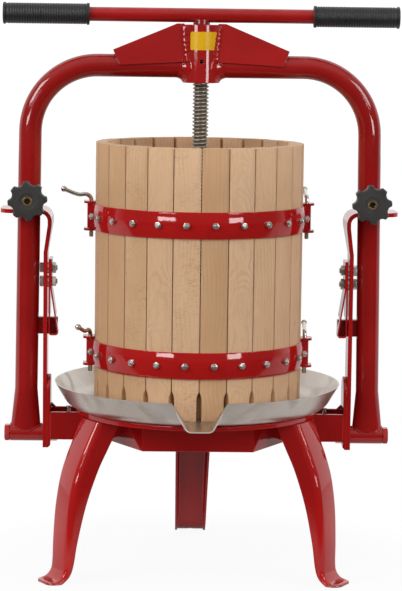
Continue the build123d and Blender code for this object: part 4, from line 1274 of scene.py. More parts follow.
    def staves(self, name: str, first: int) -> Piece:
        """Build the twelve staves of one half.

        Args:
            name: The piece's name.
            first: Number of the first stave, counted from +X.

        Returns:
            The piece.
        """
        shape = Shape()
        shoulder = self.relief_height - self.relief_runout
        levels = [self.end_rounding, *self.straight_levels]
        levels += [shoulder + self.relief_step * k for k in range(self.relief_steps)]
        levels += self.plain_levels
        for number in range(first, first + self.count // 2):
            top = self.height - self.draw.uniform(0.0, self.uneven_tops)
            sections = [(0.0, self.sawn_section(0.0))]
            sections += [(level, self.stave_section(level)) for level in levels + [top - self.end_rounding]]
            sections += [(top, self.sawn_section(top))]
            turn = Matrix.Rotation(math.tau * (number + 0.5) / self.count, 3, "Z")
            shape.loft([[turn @ Vector((r, t, self.bottom + level)) for r, t in section]
                        for level, section in sections])
        return shape.piece(name, sharp=40.0)

    def fastener_places(self) -> list[Matrix]:
        """Find where the bolts go, each turned by chance about its own axis.

        Returns:
            Placements whose local Z points outwards and whose origin is on the basket's axis.
        """
        places = []
        for level in self.hoop_levels:
            for number in range(self.count):
                turn = math.tau * (number + 0.5) / self.count
                out = Matrix.Rotation(turn, 4, "Z") @ Matrix.Rotation(math.pi / 2, 4, "Y")
                spin = Matrix.Rotation(self.draw.uniform(0.0, math.tau), 4, "Z")
                places.append(Matrix.Translation((0, 0, self.bottom + level)) @ out @ spin)
        return places

    def fasteners(self) -> tuple[Piece, Piece]:
        """Build the nuts outside the hoops, and the bolts with their cup heads inside.

        Returns:
            The nuts and the bolts.
        """
        nuts, bolts = Shape(), Shape()
        start = self.nut_seat - self.bolt_sink
        length = self.nut_seat + self.nut_height + self.bolt_tip - start
        head = [(self.bolt_seat + along, self.head_radius * wide) for along, wide in self.head]
        for place in self.fastener_places():
            seat = place @ Matrix.Translation((0, 0, self.nut_seat))
            nuts.hexagon(seat, self.nut_across, self.nut_height, self.bolt_radius + self.bore_slack)
            rod = place @ Matrix.Translation((0, 0, start))
            bolts.stud(rod, self.bolt_radius, length, self.bolt_pitch, self.bolt_taper)
            bolts.lathe(head, place, 20)
        return nuts.piece("stave_nut_set"), bolts.piece("stave_bolt_set")

    def hoop_welds(self) -> Piece:
        """Build the beads that join the bands to the eyes and ears.

        Returns:
            The piece.
        """
        shape = Shape()
        spot = polar(self.outside + self.weld_lift, math.radians(self.band_end), 0.0)
        rises = [self.weld_step * k - self.weld_half for k in range(self.weld_points)]
        for level in self.hoop_levels:
            for side in SIDES.values():
                for facing in FACINGS:
                    path = [Vector((side * spot.x, facing * (spot.y + self.weld_lean * rise),
                                    self.bottom + level + rise)) for rise in rises]
                    shape.bead(path, self.weld_radius, self.draw)
        return shape.piece("hoop_weld_beads", sharp=60.0)

    def pin(self, name: str, level: float, side: int, direction: float) -> Piece:
        """Build one clasp pin: an upright shank that sweeps into a handle with a ball.

        Args:
            name: The piece's name.
            level: Height of its hoop above the basket's foot.
            side: -1 for the left clasp, 1 for the right one.
            direction: Where the handle points, in degrees from +X.

        Returns:
            The piece.
        """
        lean = math.radians(self.pin_tip_rise)
        tip = (self.pin_handle + self.pin_tip * math.cos(lean), self.pin_rise + self.pin_tip * math.sin(lean))
        bend = [(self.pin_bend * (1 - math.cos(t)), self.pin_rise - self.pin_bend * (1 - math.sin(t)))
                for t in quarter_turn(8)]
        waist = (self.pin_handle * self.pin_waist, self.pin_rise - self.pin_sag)
        foot = [(0.0, -self.pin_foot), (0.0, -self.pin_foot + self.pin_chamfer), (0.0, 0.0)]
        line = [Vector(point) for point in foot + bend] + smooth_curve([bend[-1], waist, tip], 8)[1:]
        turn = Matrix.Rotation(math.radians(direction), 3, "Z")
        root = Vector((side * self.pin_distance, 0.0, self.bottom + level))
        rings = []
        for k, point in enumerate(line):
            ahead = direction_at(line, k)
            size = self.pin_radius * (self.pin_end if k == 0 else 1.0)
            rings.append([root + turn @ Vector((point.x - ahead.y * size * math.cos(t), size * math.sin(t),
                                                point.y + ahead.x * size * math.cos(t)))
                          for t in full_turn(self.pin_facets)])
        shape = Shape()
        shape.loft(rings)
        end = root + turn @ Vector((tip[0], 0.0, tip[1]))
        ball = [(-self.pin_ball * math.cos(math.pi * k / 14), self.pin_ball * math.sin(math.pi * k / 14))
                for k in range(15)]
        ball[0], ball[-1] = (-self.pin_ball, 0.0), (self.pin_ball, 0.0)
        shape.lathe(ball, Matrix.Translation(end), 24)
        return shape.piece(name, sharp=50.0)

    def build(self) -> None:
        """Build and dress the basket."""
        levels = dict(zip(("lower", "upper"), self.hoop_levels))
        for level_name, side_name, direction in self.pins:
            end = f"{level_name}_{side_name}"
            made = self.pin(f"clasp_pin_{end}_bent", levels[level_name], SIDES[side_name], direction)
            settle(made, f"pin_{end}", PIN_STEEL, [f"clasp_pin_{end}"])
        for half, first in (("rear", 0), ("front", self.count // 2)):
            made = self.staves(f"staves_{half}_planed", first)
            settle(made, "base", BEECH, [f"staves_{half}"])
        nuts, bolts = self.fasteners()
        settle(nuts, "base", ZINC, ["stave_nuts"])
        settle(bolts, "base", ZINC, ["stave_bolts"])
        settle(self.hoop_welds(), "base", ENAMEL)
        dress(ENAMEL, "hoop_upper_front", "hoop_upper_rear", "hoop_lower_front", "hoop_lower_rear")
        dress(BOARD, "press_board_front", "press_board_rear")


@dataclass
class PressScrew:
    """The pressing screw with a cut helical thread, its foot and its ring. Sizes in millimetres."""

    crest: float = 11.0
    root: float = 8.5
    pitch: float = 5.0
    # Share of the pitch, and share of the thread's depth.
    profile: tuple[Pair, ...] = ((0.00, 0.0), (0.11, 0.0), (0.15, 0.10), (0.33, 0.90), (0.37, 1.0),
                                  (0.50, 1.0), (0.63, 1.0), (0.67, 0.90), (0.85, 0.10), (0.89, 0.0),
                                  (1.00, 0.0))
    thread_bottom: float = 402.3
    thread_top: float = 742.0
    neck_top: float = 746.0
    neck_overlap: float = 8.0
    journal: float = 7.0
    journal_bottom: float = 387.0
    journal_chamfer: float = 1.0
    journal_overlap: float = 12.0
    shoulder_rise: float = 0.4
    core_slack: float = 0.05
    ring_level: float = 392.0
    ring_height: float = 2.0
    same_point: float = 1e-4
    steps: int = 36
    facets: int = 48

    def thread(self) -> Piece:
        """Build the screw as one swept thread with its journal and neck.

        Returns:
            The piece.
        """
        shape = Shape()
        mesh = shape.mesh
        turns = (self.thread_top - self.thread_bottom) / self.pitch
        rows = []
        for step in range(int(turns * self.steps) + 1):
            turn = step / self.steps
            rise = (self.crest - self.root) * max(0.0, min(1.0, 2.0 * turn, 2.0 * (turns - 1.0 - turn)))
            row = []
            for share, height in self.profile:
                z = min(self.thread_bottom + self.pitch * (turn + share), self.thread_top)
                row.append(mesh.verts.new(polar(self.root + rise * height, math.tau * turn, z)))
            rows.append(row)
        for low, high in zip(rows, rows[1:]):
            for k in range(len(self.profile) - 1):
                mesh.faces.new((low[k], high[k], high[k + 1], low[k + 1]))
        bmesh.ops.remove_doubles(mesh, verts=mesh.verts, dist=self.same_point)
        bmesh.ops.dissolve_degenerate(mesh, dist=self.same_point, edges=mesh.edges)
        bmesh.ops.holes_fill(mesh, edges=mesh.edges, sides=0)
        upright = Matrix.Identity(4)
        core = self.root - self.core_slack
        shape.rod(upright, core, self.thread_top - self.neck_overlap, self.neck_top, self.facets)
        half = self.ring_height / 2
        low, high = self.ring_level - half, self.ring_level + half
        end = self.thread_bottom + self.journal_overlap
        shape.lathe([(self.journal_bottom, 0.0), (self.journal_bottom, self.journal - self.journal_chamfer),
                     (self.journal_bottom + self.journal_chamfer, self.journal), (low, self.journal),
                     (low, self.journal - half), (high, self.journal - half), (high, self.journal),
                     (self.thread_bottom, self.journal), (self.thread_bottom + self.shoulder_rise, core),
                     (end, core), (end, 0.0)], upright, self.facets)
        return shape.piece("screw_cut_thread", sharp=50.0)

    def build(self) -> None:
        """Build and dress the screw and its foot."""
        settle(self.thread(), "screw", THREAD, ["screw"])
        dress(FOOT_STEEL, "press_foot")
        dress(ZINC, "retaining_ring")


@dataclass
class Handle:
    """The cross bar with its collar and its two ribbed grips. Sizes in millimetres."""

    bar_height: float = 755.5
    tip: float = 267.5
    length: float = 116.5
    bar_radius: float = 9.67
    bar_end: float = 263.5
    radius: float = 14.0
    flange: float = 14.8
    flange_length: float = 4.0
    flange_round: float = 1.1
    flange_root: float = 0.2
    edge: float = 0.6
    rib_pitch: float = 3.5
    rib_depth: float = 0.55
    # Share of the pitch, lift over the groove, and share of the rib's depth.
    rib: tuple[Triple, ...] = ((0.0, 0.0, 0.0), (0.22, 0.1, 0.0), (0.40, 0.0, 1.0), (0.78, 0.0, 1.0),
                               (0.95, 0.1, 0.0))
    # Distance from the tip, and fall from the flange's radius.
    cap: tuple[Pair, ...] = ((1.6, 0.0), (0.5, 0.5), (0.1, 1.7), (0.0, 4.0))
    neck_bottom: float = 743.2
    neck_top: float = 750.0
    neck_radius: float = 11.4
    neck_chamfer: float = 0.25

    def grip(self, name: str, side: int) -> Piece:
        """Build one grip with rounded flanges and moulded ribs.

        Args:
            name: The piece's name.
            side: -1 for the left grip, 1 for the right one.

        Returns:
            The piece.
        """
        start, end = self.tip - self.length, self.tip - self.flange_length
        shoulder, soft = start + self.flange_length, self.flange_round
        root = self.radius - self.flange_root
        outline = [(self.bar_end, 0.0), (self.bar_end, self.bar_radius), (start + self.edge, self.bar_radius),
                   (start, self.bar_radius + self.edge), (start, self.flange - soft),
                   (start + 0.3 * soft, self.flange - 0.3 * soft), (start + soft, self.flange),
                   (shoulder - self.edge, self.flange), (shoulder, root)]
        low = self.radius - self.rib_depth
        for number in range(int((self.length - 2 * (self.flange_length + self.edge)) / self.rib_pitch)):
            at = shoulder + self.edge + number * self.rib_pitch
            outline += [(at + share * self.rib_pitch, low + lift + full * self.rib_depth)
                        for share, lift, full in self.rib]
        outline += [(end - 0.3, low), (end, root), (end + self.edge, self.flange)]
        outline += [(self.tip - back, self.flange - fall) for back, fall in self.cap]
        outline += [(self.tip, 0.0)]
        shape = Shape()
        shape.lathe(outline, along_x(side, 0.0, 0.0, self.bar_height), 72)
        return shape.piece(name, sharp=48.0)

    def collar(self) -> Piece:
        """Build the collar under the bar.

        Returns:
            The piece.
        """
        shape = Shape()
        low, rim, chamfer = self.neck_bottom, self.neck_radius, self.neck_chamfer
        shape.lathe([(low, 0.0), (low, rim - chamfer), (low + chamfer, rim), (self.neck_top, rim),
                     (self.neck_top, 0.0)], Matrix.Identity(4), 48)
        return shape.piece("handle_neck_collar")

    def build(self) -> None:
        """Build and dress the handle."""
        for side_name, side in SIDES.items():
            made = self.grip(f"grip_{side_name}_ribbed", side)
            settle(made, "screw", RUBBER, [f"grip_{side_name}"])
        # The collar and the bar take darker copies of the red enamel: painted shade, darkest on the collar in
        # the bar's shadow.
        settle(self.collar(), "screw", NECK_SHADOW_ENAMEL, ["handle_neck"])
        dress(MID_SHADE_ENAMEL, "handle_bar")


@dataclass
class Yoke:
    """The bent tube yoke with its nut housing, gussets, welds and yellow patch. Sizes in millimetres."""

    tube_radius: float = 15.5
    tube_height: float = 687.0
    housing_radius: float = 25.0
    gusset_apex: float = 744.3
    gusset_root: float = 694.0
    gusset_end_bottom: float = 688.0
    gusset_rounding: float = 0.7
    ridge_half: float = 10.0
    base_half: float = 18.0
    end_weld_top: float = 702.0
    end_weld_drop: float = 13.5
    end_weld_reach: float = 117.8
    end_weld_shift: float = 7.8
    end_weld_points: int = 12
    end_weld_radius: float = 1.4
    pivot_height: float = 183.4
    sleeve_radius: float = 11.5
    foot_span: float = 234.0
    flare_half_width: float = 21.0
    foot_weld_half: float = 11.1
    foot_weld_lift: float = 0.3
    foot_weld_points: int = 60
    foot_weld_radius: float = 1.5
    # Distance from the housing, and rise from the tube.
    fillet: tuple[Pair, ...] = ((10.0, -0.35), (7.0, 0.35), (4.6, 1.2), (2.8, 2.4), (1.4, 3.9), (0.5, 5.4),
                                 (-0.3, 6.3), (-2.5, 6.3), (-2.5, -1.5), (10.0, -1.5))
    fillet_start: float = -204.0
    fillet_sweep: float = 228.0
    fillet_steps: int = 56
    fillet_ripple: float = 0.05
    fillet_uneven: float = 0.03
    seam_leg: float = 5.0
    seam_uneven: float = 1.2
    seam_sink: float = 0.988
    seam_steps: int = 40
    seam_fade: int = 3
    seam_bottom: float = 2.0
    seam_top: float = 2.5
    seam_swell: float = 1.7
    seam_ripple: float = 0.42
    seam_ripple_step: float = 1.15
    seam_roughness: float = 0.30
    seam_shares: tuple[float, ...] = (0.0, 0.12, 0.28, 0.45, 0.62, 0.8, 0.92, 1.0)
    blobs: int = 3
    blob_out: Pair = (0.62, 0.78)
    blob_tilt: Pair = (-0.2, 0.3)
    # Ranges along X, Y and Z.
    blob_box: tuple[Pair, ...] = ((25.0, 29.0), (16.0, 17.0), (686.0, 695.0))
    blob_radius: Pair = (1.3, 2.2)
    spatter: int = 46
    # Mean and spread, in degrees from the front or the back.
    spatter_turn: Pair = (58.0, 9.0)
    spatter_height: Pair = (668.0, 741.0)
    spatter_radius: Pair = (0.45, 1.1)
    patch_left: float = -15.0
    patch_right: float = 20.6
    patch_bottom: float = 709.2
    patch_top: float = 733.6
    patch_thickness: float = 0.2
    patch_lift: float = 0.03
    patch_corner: float = 2.2
    patch_columns: int = 40
    draw: random.Random = field(default_factory=lambda: random.Random(23))

    def cheek(self, height: float) -> float:
        """Give half the gusset's width at a height."""
        share = (self.gusset_apex - height) / (self.gusset_apex - self.gusset_end_bottom)
        return self.ridge_half + share * (self.base_half - self.ridge_half)

    def end_weld(self, shape: Shape, side: int, facing: int) -> None:
        """Lay the bead between the tube and one face of a gusset's outer end.

        Args:
            shape: The mesh that it goes into.
            side: -1 for the left gusset, 1 for the right one.
            facing: -1 for the front face, 1 for the back one.
        """
        path = []
        for k in range(self.end_weld_points):
            share = k / (self.end_weld_points - 1)
            z = self.end_weld_top - self.end_weld_drop * share
            y = math.sqrt(self.tube_radius ** 2 - (z - self.tube_height) ** 2)
            path.append(Vector((side * (self.end_weld_reach - self.end_weld_shift * share), facing * y, z)))
        shape.bead(path, self.end_weld_radius, self.draw)

    def foot_weld(self, shape: Shape, side: int) -> None:
        """Lay the bead round the tube's flared foot on its sleeve.

        Args:
            shape: The mesh that it goes into.
            side: -1 for the left foot, 1 for the right one.
        """
        path = []
        for turn in full_turn(self.foot_weld_points):
            y = self.foot_weld_half * math.sin(turn)
            z = self.pivot_height + math.sqrt(self.sleeve_radius ** 2 - y ** 2) + self.foot_weld_lift
            path.append(Vector((side * self.foot_span + self.flare_half_width * math.cos(turn), y, z)))
        shape.bead(path, self.foot_weld_radius, self.draw, closed=True)

    def seam(self, shape: Shape, side: int, facing: int) -> None:
        """Lay the wide upright seam between the housing and one gusset face.

        Args:
            shape: The mesh that it goes into.
            side: -1 for the left gusset, 1 for the right one.
            facing: -1 for the front face, 1 for the back one.
        """
        rings = []
        steps, round_wall = self.seam_steps, self.housing_radius
        start, end = self.gusset_root - self.seam_bottom, self.gusset_apex - self.seam_top
        swing = self.draw.uniform(0.0, math.tau)
        for k in range(steps + 1):
            z = start + (end - start) * k / steps
            cheek = self.cheek(z)
            corner = math.acos(cheek / round_wall)
            leg = self.seam_leg + self.draw.uniform(-self.seam_uneven, self.seam_uneven)
            near = corner - leg / round_wall
            inner = Vector((round_wall * math.sin(near), round_wall * math.cos(near))) * self.seam_sink
            outer = Vector((round_wall * math.sin(corner) + self.seam_leg * 1.1, cheek - 0.3))
            across = outer - inner
            out = Vector((-across.y, across.x)).normalized()
            fade = min(1.0, k / self.seam_fade, (steps - k) / self.seam_fade)
            swell = self.seam_swell + self.seam_ripple * math.sin(self.seam_ripple_step * k + swing)
            swell += self.draw.uniform(-self.seam_roughness, self.seam_roughness)
            bulge = [inner + across * t + out * (4.0 * t * (1.0 - t) * swell * fade)
                     for t in self.seam_shares]
            root = Vector((round_wall * math.sin(corner) - 1.0, cheek - 2.0))
            rings.append([Vector((side * p.x, facing * p.y, z)) for p in bulge + [root]])
        shape.loft(rings)

    def flare(self, shape: Shape, side: int) -> None:
        """Lay the hollow fillet that runs from the tube's underside and cheeks out onto the housing.

        Args:
            shape: The mesh that it goes into.
            side: -1 for the left tube, 1 for the right one.
        """
        rings = []
        for k in range(self.fillet_steps + 1):
            turn = math.radians(self.fillet_start + self.fillet_sweep * k / self.fillet_steps)
            lumps = 1.0 + self.fillet_ripple * math.sin(0.9 * k)
            lumps += self.draw.uniform(-self.fillet_uneven, self.fillet_uneven)
            ring = []
            for away, rise in self.fillet:
                reach = self.tube_radius + (rise * lumps if rise > 0 else rise)
                y, z = reach * math.cos(turn), self.tube_height + reach * math.sin(turn)
                ring.append(Vector((side * (math.sqrt(self.housing_radius ** 2 - y ** 2) + away), y, z)))
            rings.append(ring)
        shape.loft(rings)

    def welds(self) -> Piece:
        """Build the weld beads and the spatter round them.

        Returns:
            The piece.
        """
        shape, draw = Shape(), self.draw
        for side in SIDES.values():
            for facing in FACINGS:
                self.end_weld(shape, side, facing)
            self.foot_weld(shape, side)
        for side in SIDES.values():
            self.flare(shape, side)
            for facing in FACINGS:
                self.seam(shape, side, facing)
                for _ in range(self.blobs):
                    sideways, forwards = self.blob_out
                    tilt = draw.uniform(*self.blob_tilt)
                    out = Vector((side * sideways, facing * forwards, tilt)).normalized()
                    x, y, z = (draw.uniform(*reach) for reach in self.blob_box)
                    shape.drop(Vector((side * x, facing * y, z)), out, draw.uniform(*self.blob_radius))
        for _ in range(self.spatter):
            side = draw.choice(FACINGS)
            turn = math.radians(draw.gauss(*self.spatter_turn))
            facing = draw.choice(FACINGS)
            out = Vector((side * math.sin(turn), facing * math.cos(turn), 0.0))
            spot = out * self.housing_radius + Vector((0, 0, draw.uniform(*self.spatter_height)))
            shape.drop(spot, out, draw.uniform(*self.spatter_radius))
        return shape.piece("yoke_weld_beads", sharp=70.0)

    def patch(self) -> Piece:
        """Build the plain vinyl patch, wrapped round the housing.

        Returns:
            The piece.
        """
        shape = Shape()
        start = math.asin(self.patch_left / self.housing_radius)
        end = math.asin(self.patch_right / self.housing_radius)
        length = (end - start) * self.housing_radius
        corner = self.patch_corner
        back = self.housing_radius + self.patch_lift
        face = back + self.patch_thickness
        rings = []
        for k in range(self.patch_columns + 1):
            along = length * k / self.patch_columns
            inset = min(along, length - along)
            cut = 0.0 if inset >= corner else corner - math.sqrt(corner ** 2 - (corner - inset) ** 2)
            turn = start + along / self.housing_radius
            low, high = self.patch_bottom + cut, self.patch_top - cut
            out = Vector((math.sin(turn), -math.cos(turn), 0.0))
            rings.append([out * reach + Vector((0, 0, z))
                          for reach, z in ((back, low), (face, low), (face, high), (back, high))])
        shape.loft(rings)
        return shape.piece("housing_patch")

    def build(self) -> None:
        """Build and dress the yoke."""
        # The yoke's welds, gussets, sleeves and housing take a darker copy of the red enamel, and the tubes a
        # darker one still: painted shade.
        settle(self.welds(), "yoke", MID_SHADE_ENAMEL)
        settle(self.patch(), "yoke", FOIL)
        for node in ("gusset_left", "gusset_right"):
            settle(soften(node, self.gusset_rounding), "yoke", MID_SHADE_ENAMEL, [node])
        dress(DEEP_SHADE_ENAMEL, "yoke_leg_left", "yoke_leg_right")
        dress(MID_SHADE_ENAMEL, "pivot_sleeves", "nut_housing")
        dress(ENAMEL, "yoke_lugs")
        dress(CAST, "screw_nut")


@dataclass(frozen=True)
class CrossBolt:
    """A bolt along X with its head on the outside and its nut on the inside. Sizes in millimetres."""

    across: float
    radius: float
    pitch: float
    taper: float
    head: float
    nut: float
    tip: float
    head_seat: float
    rod_start: float
    nut_seat: float
    bore_slack: float = 0.1

    def fit(self, bolts: Shape, nuts: Shape, side: int, spot: Pair, spins: Sequence[float]) -> None:
        """Add one bolt and its nut.

        Args:
            bolts: The mesh that the bolt goes into.
            nuts: The mesh that the nut goes into.
            side: -1 for the left side, 1 for the right one.
            spot: The bolt's Y and Z.
            spins: How far the head and the nut are turned, in radians.
        """
        head_spin, nut_spin = (Matrix.Rotation(spin, 4, "Z") for spin in spins)
        bolts.hexagon(along_x(side, self.head_seat, *spot) @ head_spin, self.across, self.head)
        nut_start = self.nut_seat - self.nut
        rod = along_x(side, self.rod_start, *spot) @ Matrix.Rotation(math.pi, 4, "X")
        bolts.stud(rod, self.radius, self.rod_start - nut_start + self.tip, self.pitch, self.taper)
        seat = along_x(side, nut_start, *spot) @ nut_spin
        nuts.hexagon(seat, self.across, self.nut, self.radius + self.bore_slack)


@dataclass
class Base:
    """Rails, plate, end plates, straps, catches, their fasteners, and the basin. Sizes in millimetres."""

    catch: CrossBolt = CrossBolt(across=13.0, radius=4.0, pitch=1.25, taper=1.0, head=5.3, nut=5.5, tip=1.8,
                                 head_seat=210.52, rod_start=211.0, nut_seat=199.08)
    catch_y: float = -10.8
    catch_heights: tuple[float, float] = (394.0, 412.5)
    pivot: CrossBolt = CrossBolt(across=21.0, radius=6.0, pitch=1.75, taper=1.2, head=7.5, nut=9.0, tip=2.0,
                                 head_seat=256.1, rod_start=256.6, nut_seat=199.98)
    pivot_height: float = 183.4
    pivot_spin: float = math.radians(30)
    weld_x: float = 199.4
    weld_y: float = 22.4
    weld_bottom: float = 180.0
    weld_step: float = 1.4
    weld_points: int = 26
    weld_radius: float = 1.5
    # Solid, rounding of its edges, and finish. The rails' darker enamel is painted shade.
    bars: tuple[tuple[str, float, Enamel], ...] = (
        ("strap_left", 1.2, ENAMEL), ("strap_right", 1.2, ENAMEL),
        ("end_plate_left", 0.8, ENAMEL), ("end_plate_right", 0.8, ENAMEL),
        ("catch_tongue_left", 0.5, ENAMEL), ("catch_tongue_right", 0.5, ENAMEL),
        ("rail_front", 0.8, MID_SHADE_ENAMEL), ("rail_rear", 0.8, MID_SHADE_ENAMEL))
    draw: random.Random = field(default_factory=lambda: random.Random(37))

    def catch_fasteners(self) -> tuple[Piece, Piece]:
        """Build the bolts and nuts of the catch tongues, each turned by chance.

        Returns:
            The bolts and the nuts.
        """
        bolts, nuts = Shape(), Shape()
        for side in SIDES.values():
            for height in self.catch_heights:
                spins = [self.draw.uniform(0.0, math.tau) for _ in range(2)]
                self.catch.fit(bolts, nuts, side, (self.catch_y, height), spins)
        return bolts.piece("catch_bolt_set"), nuts.piece("catch_nut_set")

    def pivot_fasteners(self) -> tuple[Piece, Piece]:
        """Build the pivot bolts and their nuts.

        Returns:
            The bolts and the nuts.
        """
        bolts, nuts = Shape(), Shape()
        for side in SIDES.values():
            self.pivot.fit(bolts, nuts, side, (0.0, self.pivot_height), (self.pivot_spin, self.pivot_spin))
        return bolts.piece("pivot_bolt_set"), nuts.piece("pivot_nut_set")

    def welds(self) -> Piece:
        """Build the beads between arms and end plates.

        Returns:
            The piece.
        """
        shape = Shape()
        heights = [self.weld_bottom + self.weld_step * k for k in range(self.weld_points)]
        for side in SIDES.values():
            for facing in FACINGS:
                path = [Vector((side * self.weld_x, facing * self.weld_y, height)) for height in heights]
                shape.bead(path, self.weld_radius, self.draw)
        return shape.piece("base_weld_beads", sharp=70.0)

    def build(self) -> None:
        """Build and dress the base and the basin."""
        for node, width, finish in self.bars:
            settle(soften(node, width), "base", finish, [node])
        bolts, nuts = self.catch_fasteners()
        settle(bolts, "base", ZINC, ["catch_bolts"])
        settle(nuts, "base", ZINC, ["catch_nuts"])
        bolts, nuts = self.pivot_fasteners()
        settle(bolts, "base", ENAMEL, ["pivot_bolts"])
        settle(nuts, "base", ZINC, ["pivot_nuts"])
        settle(self.welds(), "base", ENAMEL)
        dress(ENAMEL, "base_plate", "arm_gussets", "stop_blocks")
        dress(ZINC, "catch_washers", "stop_bolts", "stop_nuts")
        dress(STAINLESS, "basin")


@dataclass
class Legs:
    """Three pressed channel legs with rounded bends and turned-out, drilled toes. Sizes in millimetres."""

    top: float = 215.7
    top_width: float = 49.0
    foot_width: float = 40.0
    thickness: float = 3.0
    bend: float = 9.0
    bend_share: float = 0.70
    lip: float = 0.5
    lip_share: float = 0.2
    widening: float = 2.2
    swell: float = 1.0
    swell_height: float = 60.0
    lean: float = -3.2
    deepest: float = 60.0
    level_steps: int = 8
    toe_thickness: float = 3.2
    toe_tip: float = 234.0
    toe_corner: float = 13.0
    floor_end: float = 239.0
    hole_reach: float = 224.0
    hole_radius: float = 4.5
    hole_cut: float = 20.0
    # Distance from the press's axis, and height, of the web's face and of the flanges' edge.
    web: tuple[Pair, ...] = ((168.0, 215.7), (195.2, 152.0), (205.2, 105.0), (209.3, 52.6), (210.5, 20.0))
    edge: tuple[Pair, ...] = ((132.6, 215.7), (150.0, 181.0), (164.5, 152.0), (181.4, 105.0), (193.6, 52.6),
                               (199.0, 22.0), (204.5, 9.0), (215.0, 0.0))
    # Leg, where it points, in degrees from +X, and finish. The rear leg's darker enamel is painted shade.
    places: tuple[tuple[str, float, Enamel], ...] = (
        ("front_left", 210.0, ENAMEL), ("front_right", 330.0, ENAMEL), ("rear", 90.0, DEEP_SHADE_ENAMEL))

    def path(self) -> list[Vector]:
        """Draw the web's outer line from the top, down the leg and out along the toe.

        Returns:
            The line's points: distance from the press's axis, and height.
        """
        line = smooth_curve(self.web, 10)
        ankle = line[-1]
        radius = ankle.y - self.toe_thickness
        centre = Vector((ankle.x + radius, ankle.y))
        line += [centre - Vector((radius * math.cos(t), radius * math.sin(t)))
                 for t in quarter_turn(12)[1:]]
        reach = self.toe_tip - line[-1].x
        return line + [Vector((line[-1].x + reach * k / 10, self.toe_thickness)) for k in range(1, 11)]

    def section(self, depth: float) -> list[Triple]:
        """Give the channel's outline for a flange depth.

        Args:
            depth: How far the flanges reach in from the web.

        Returns:
            For each point: its side, its distance in from the flange's outer face, and its depth.
        """
        wall = min(self.thickness, depth - 0.25)
        outer = min(self.bend, self.bend_share * depth)
        inner = max(outer - wall, 0.3)
        lip = min(self.lip, self.lip_share * depth)
        turns = quarter_turn(6)
        out = [(lip, depth), (0.0, depth - lip)]
        out += [(outer * (1 - math.cos(t)), outer * (1 - math.sin(t))) for t in turns]
        back = [(wall + inner * (1 - math.cos(t)), min(wall + inner * (1 - math.sin(t)), depth - 0.1))
                for t in reversed(turns)]
        back += [(wall, depth - 0.05), (wall - 0.3 * lip, depth)]
        return ([(-1, u, v) for u, v in out] + [(1, u, v) for u, v in reversed(out)]
                + [(1, u, v) for u, v in reversed(back)] + [(-1, u, v) for u, v in back])

    def leg(self, name: str, azimuth: float) -> Piece:
        """Build one leg.

        Args:
            name: The piece's name.
            azimuth: Where the leg points, in degrees from +X.

        Returns:
            The piece.
        """
        line = self.path()
        edge = smooth_curve(self.edge, 8) + [Vector((self.floor_end, 0.0))]
        turn = Matrix.Rotation(math.radians(azimuth), 3, "Z")
        rings = []
        for k, point in enumerate(line):
            ahead = direction_at(line, k)
            square = Vector((ahead.y, -ahead.x))
            share = min(1.0, k / self.level_steps)
            inwards = (square * share + Vector((-1.0, 0.0)) * (1.0 - share)).normalized()
            depth = ray_length(point, inwards, edge, self.deepest)
            bulge = self.swell * min(1.0, point.y / self.swell_height)
            near_tip = min(self.toe_corner, self.toe_tip - point.x)
            trim = self.toe_corner - math.sqrt(self.toe_corner ** 2 - (self.toe_corner - near_tip) ** 2)
            ring = []
            for side, u, v in self.section(depth):
                spot = point + inwards * (v - bulge)
                half = (self.foot_width + (self.top_width - self.foot_width) * spot.y / self.top) / 2
                half += self.widening - trim
                height = max(spot.y, 0.0)
                tilt = Vector((self.lean * (1.0 - height / self.top), 0.0, 0.0))
                ring.append(turn @ Vector((spot.x, side * (half - u), height)) + tilt)
            rings.append(ring)
        shape = Shape()
        shape.loft(rings)
        made = shape.piece(name, sharp=38.0)
        hole = turn @ Vector((self.hole_reach, 0.0, 0.0)) + Vector((self.lean, 0.0, 0.0))
        drill(made, hole, self.hole_radius, self.hole_cut)
        return made

    def build(self) -> None:
        """Build and dress the legs."""
        for name, azimuth, finish in self.places:
            settle(self.leg(f"leg_{name}_pressed", azimuth), "base", finish, [f"leg_{name}"])


class ClampKnobs:
    """The star knobs with their inserts, studs and pads."""

    def build(self) -> None:
        """Dress both clamps."""
        for side in SIDES:
            dress(PLASTIC, f"knob_{side}", f"knob_pad_{side}")
            dress(BRASS, f"knob_insert_{side}")
            dress(STUD_STEEL, f"knob_stud_{side}")


@dataclass(frozen=True)
class SoftBox:
    """A rectangular lamp. Sizes in metres, power in watts."""

    name: str
    place: Triple
    size: Pair
    watts: float
    mirrored: bool = True

    def light(self, aim: Triple) -> None:
        """Set up the lamp.

        Args:
            aim: The point that it faces.
        """
        data = bpy.data.lights.new(self.name, "AREA")
        data.shape = "RECTANGLE"
        data.size, data.size_y = self.size
        data.energy = self.watts
        made = link(self.name, data)
        made.location = self.place
        made.rotation_euler = (Vector(aim) - Vector(self.place)).to_track_quat("-Z", "Y").to_euler()
        made.visible_glossy = self.mirrored


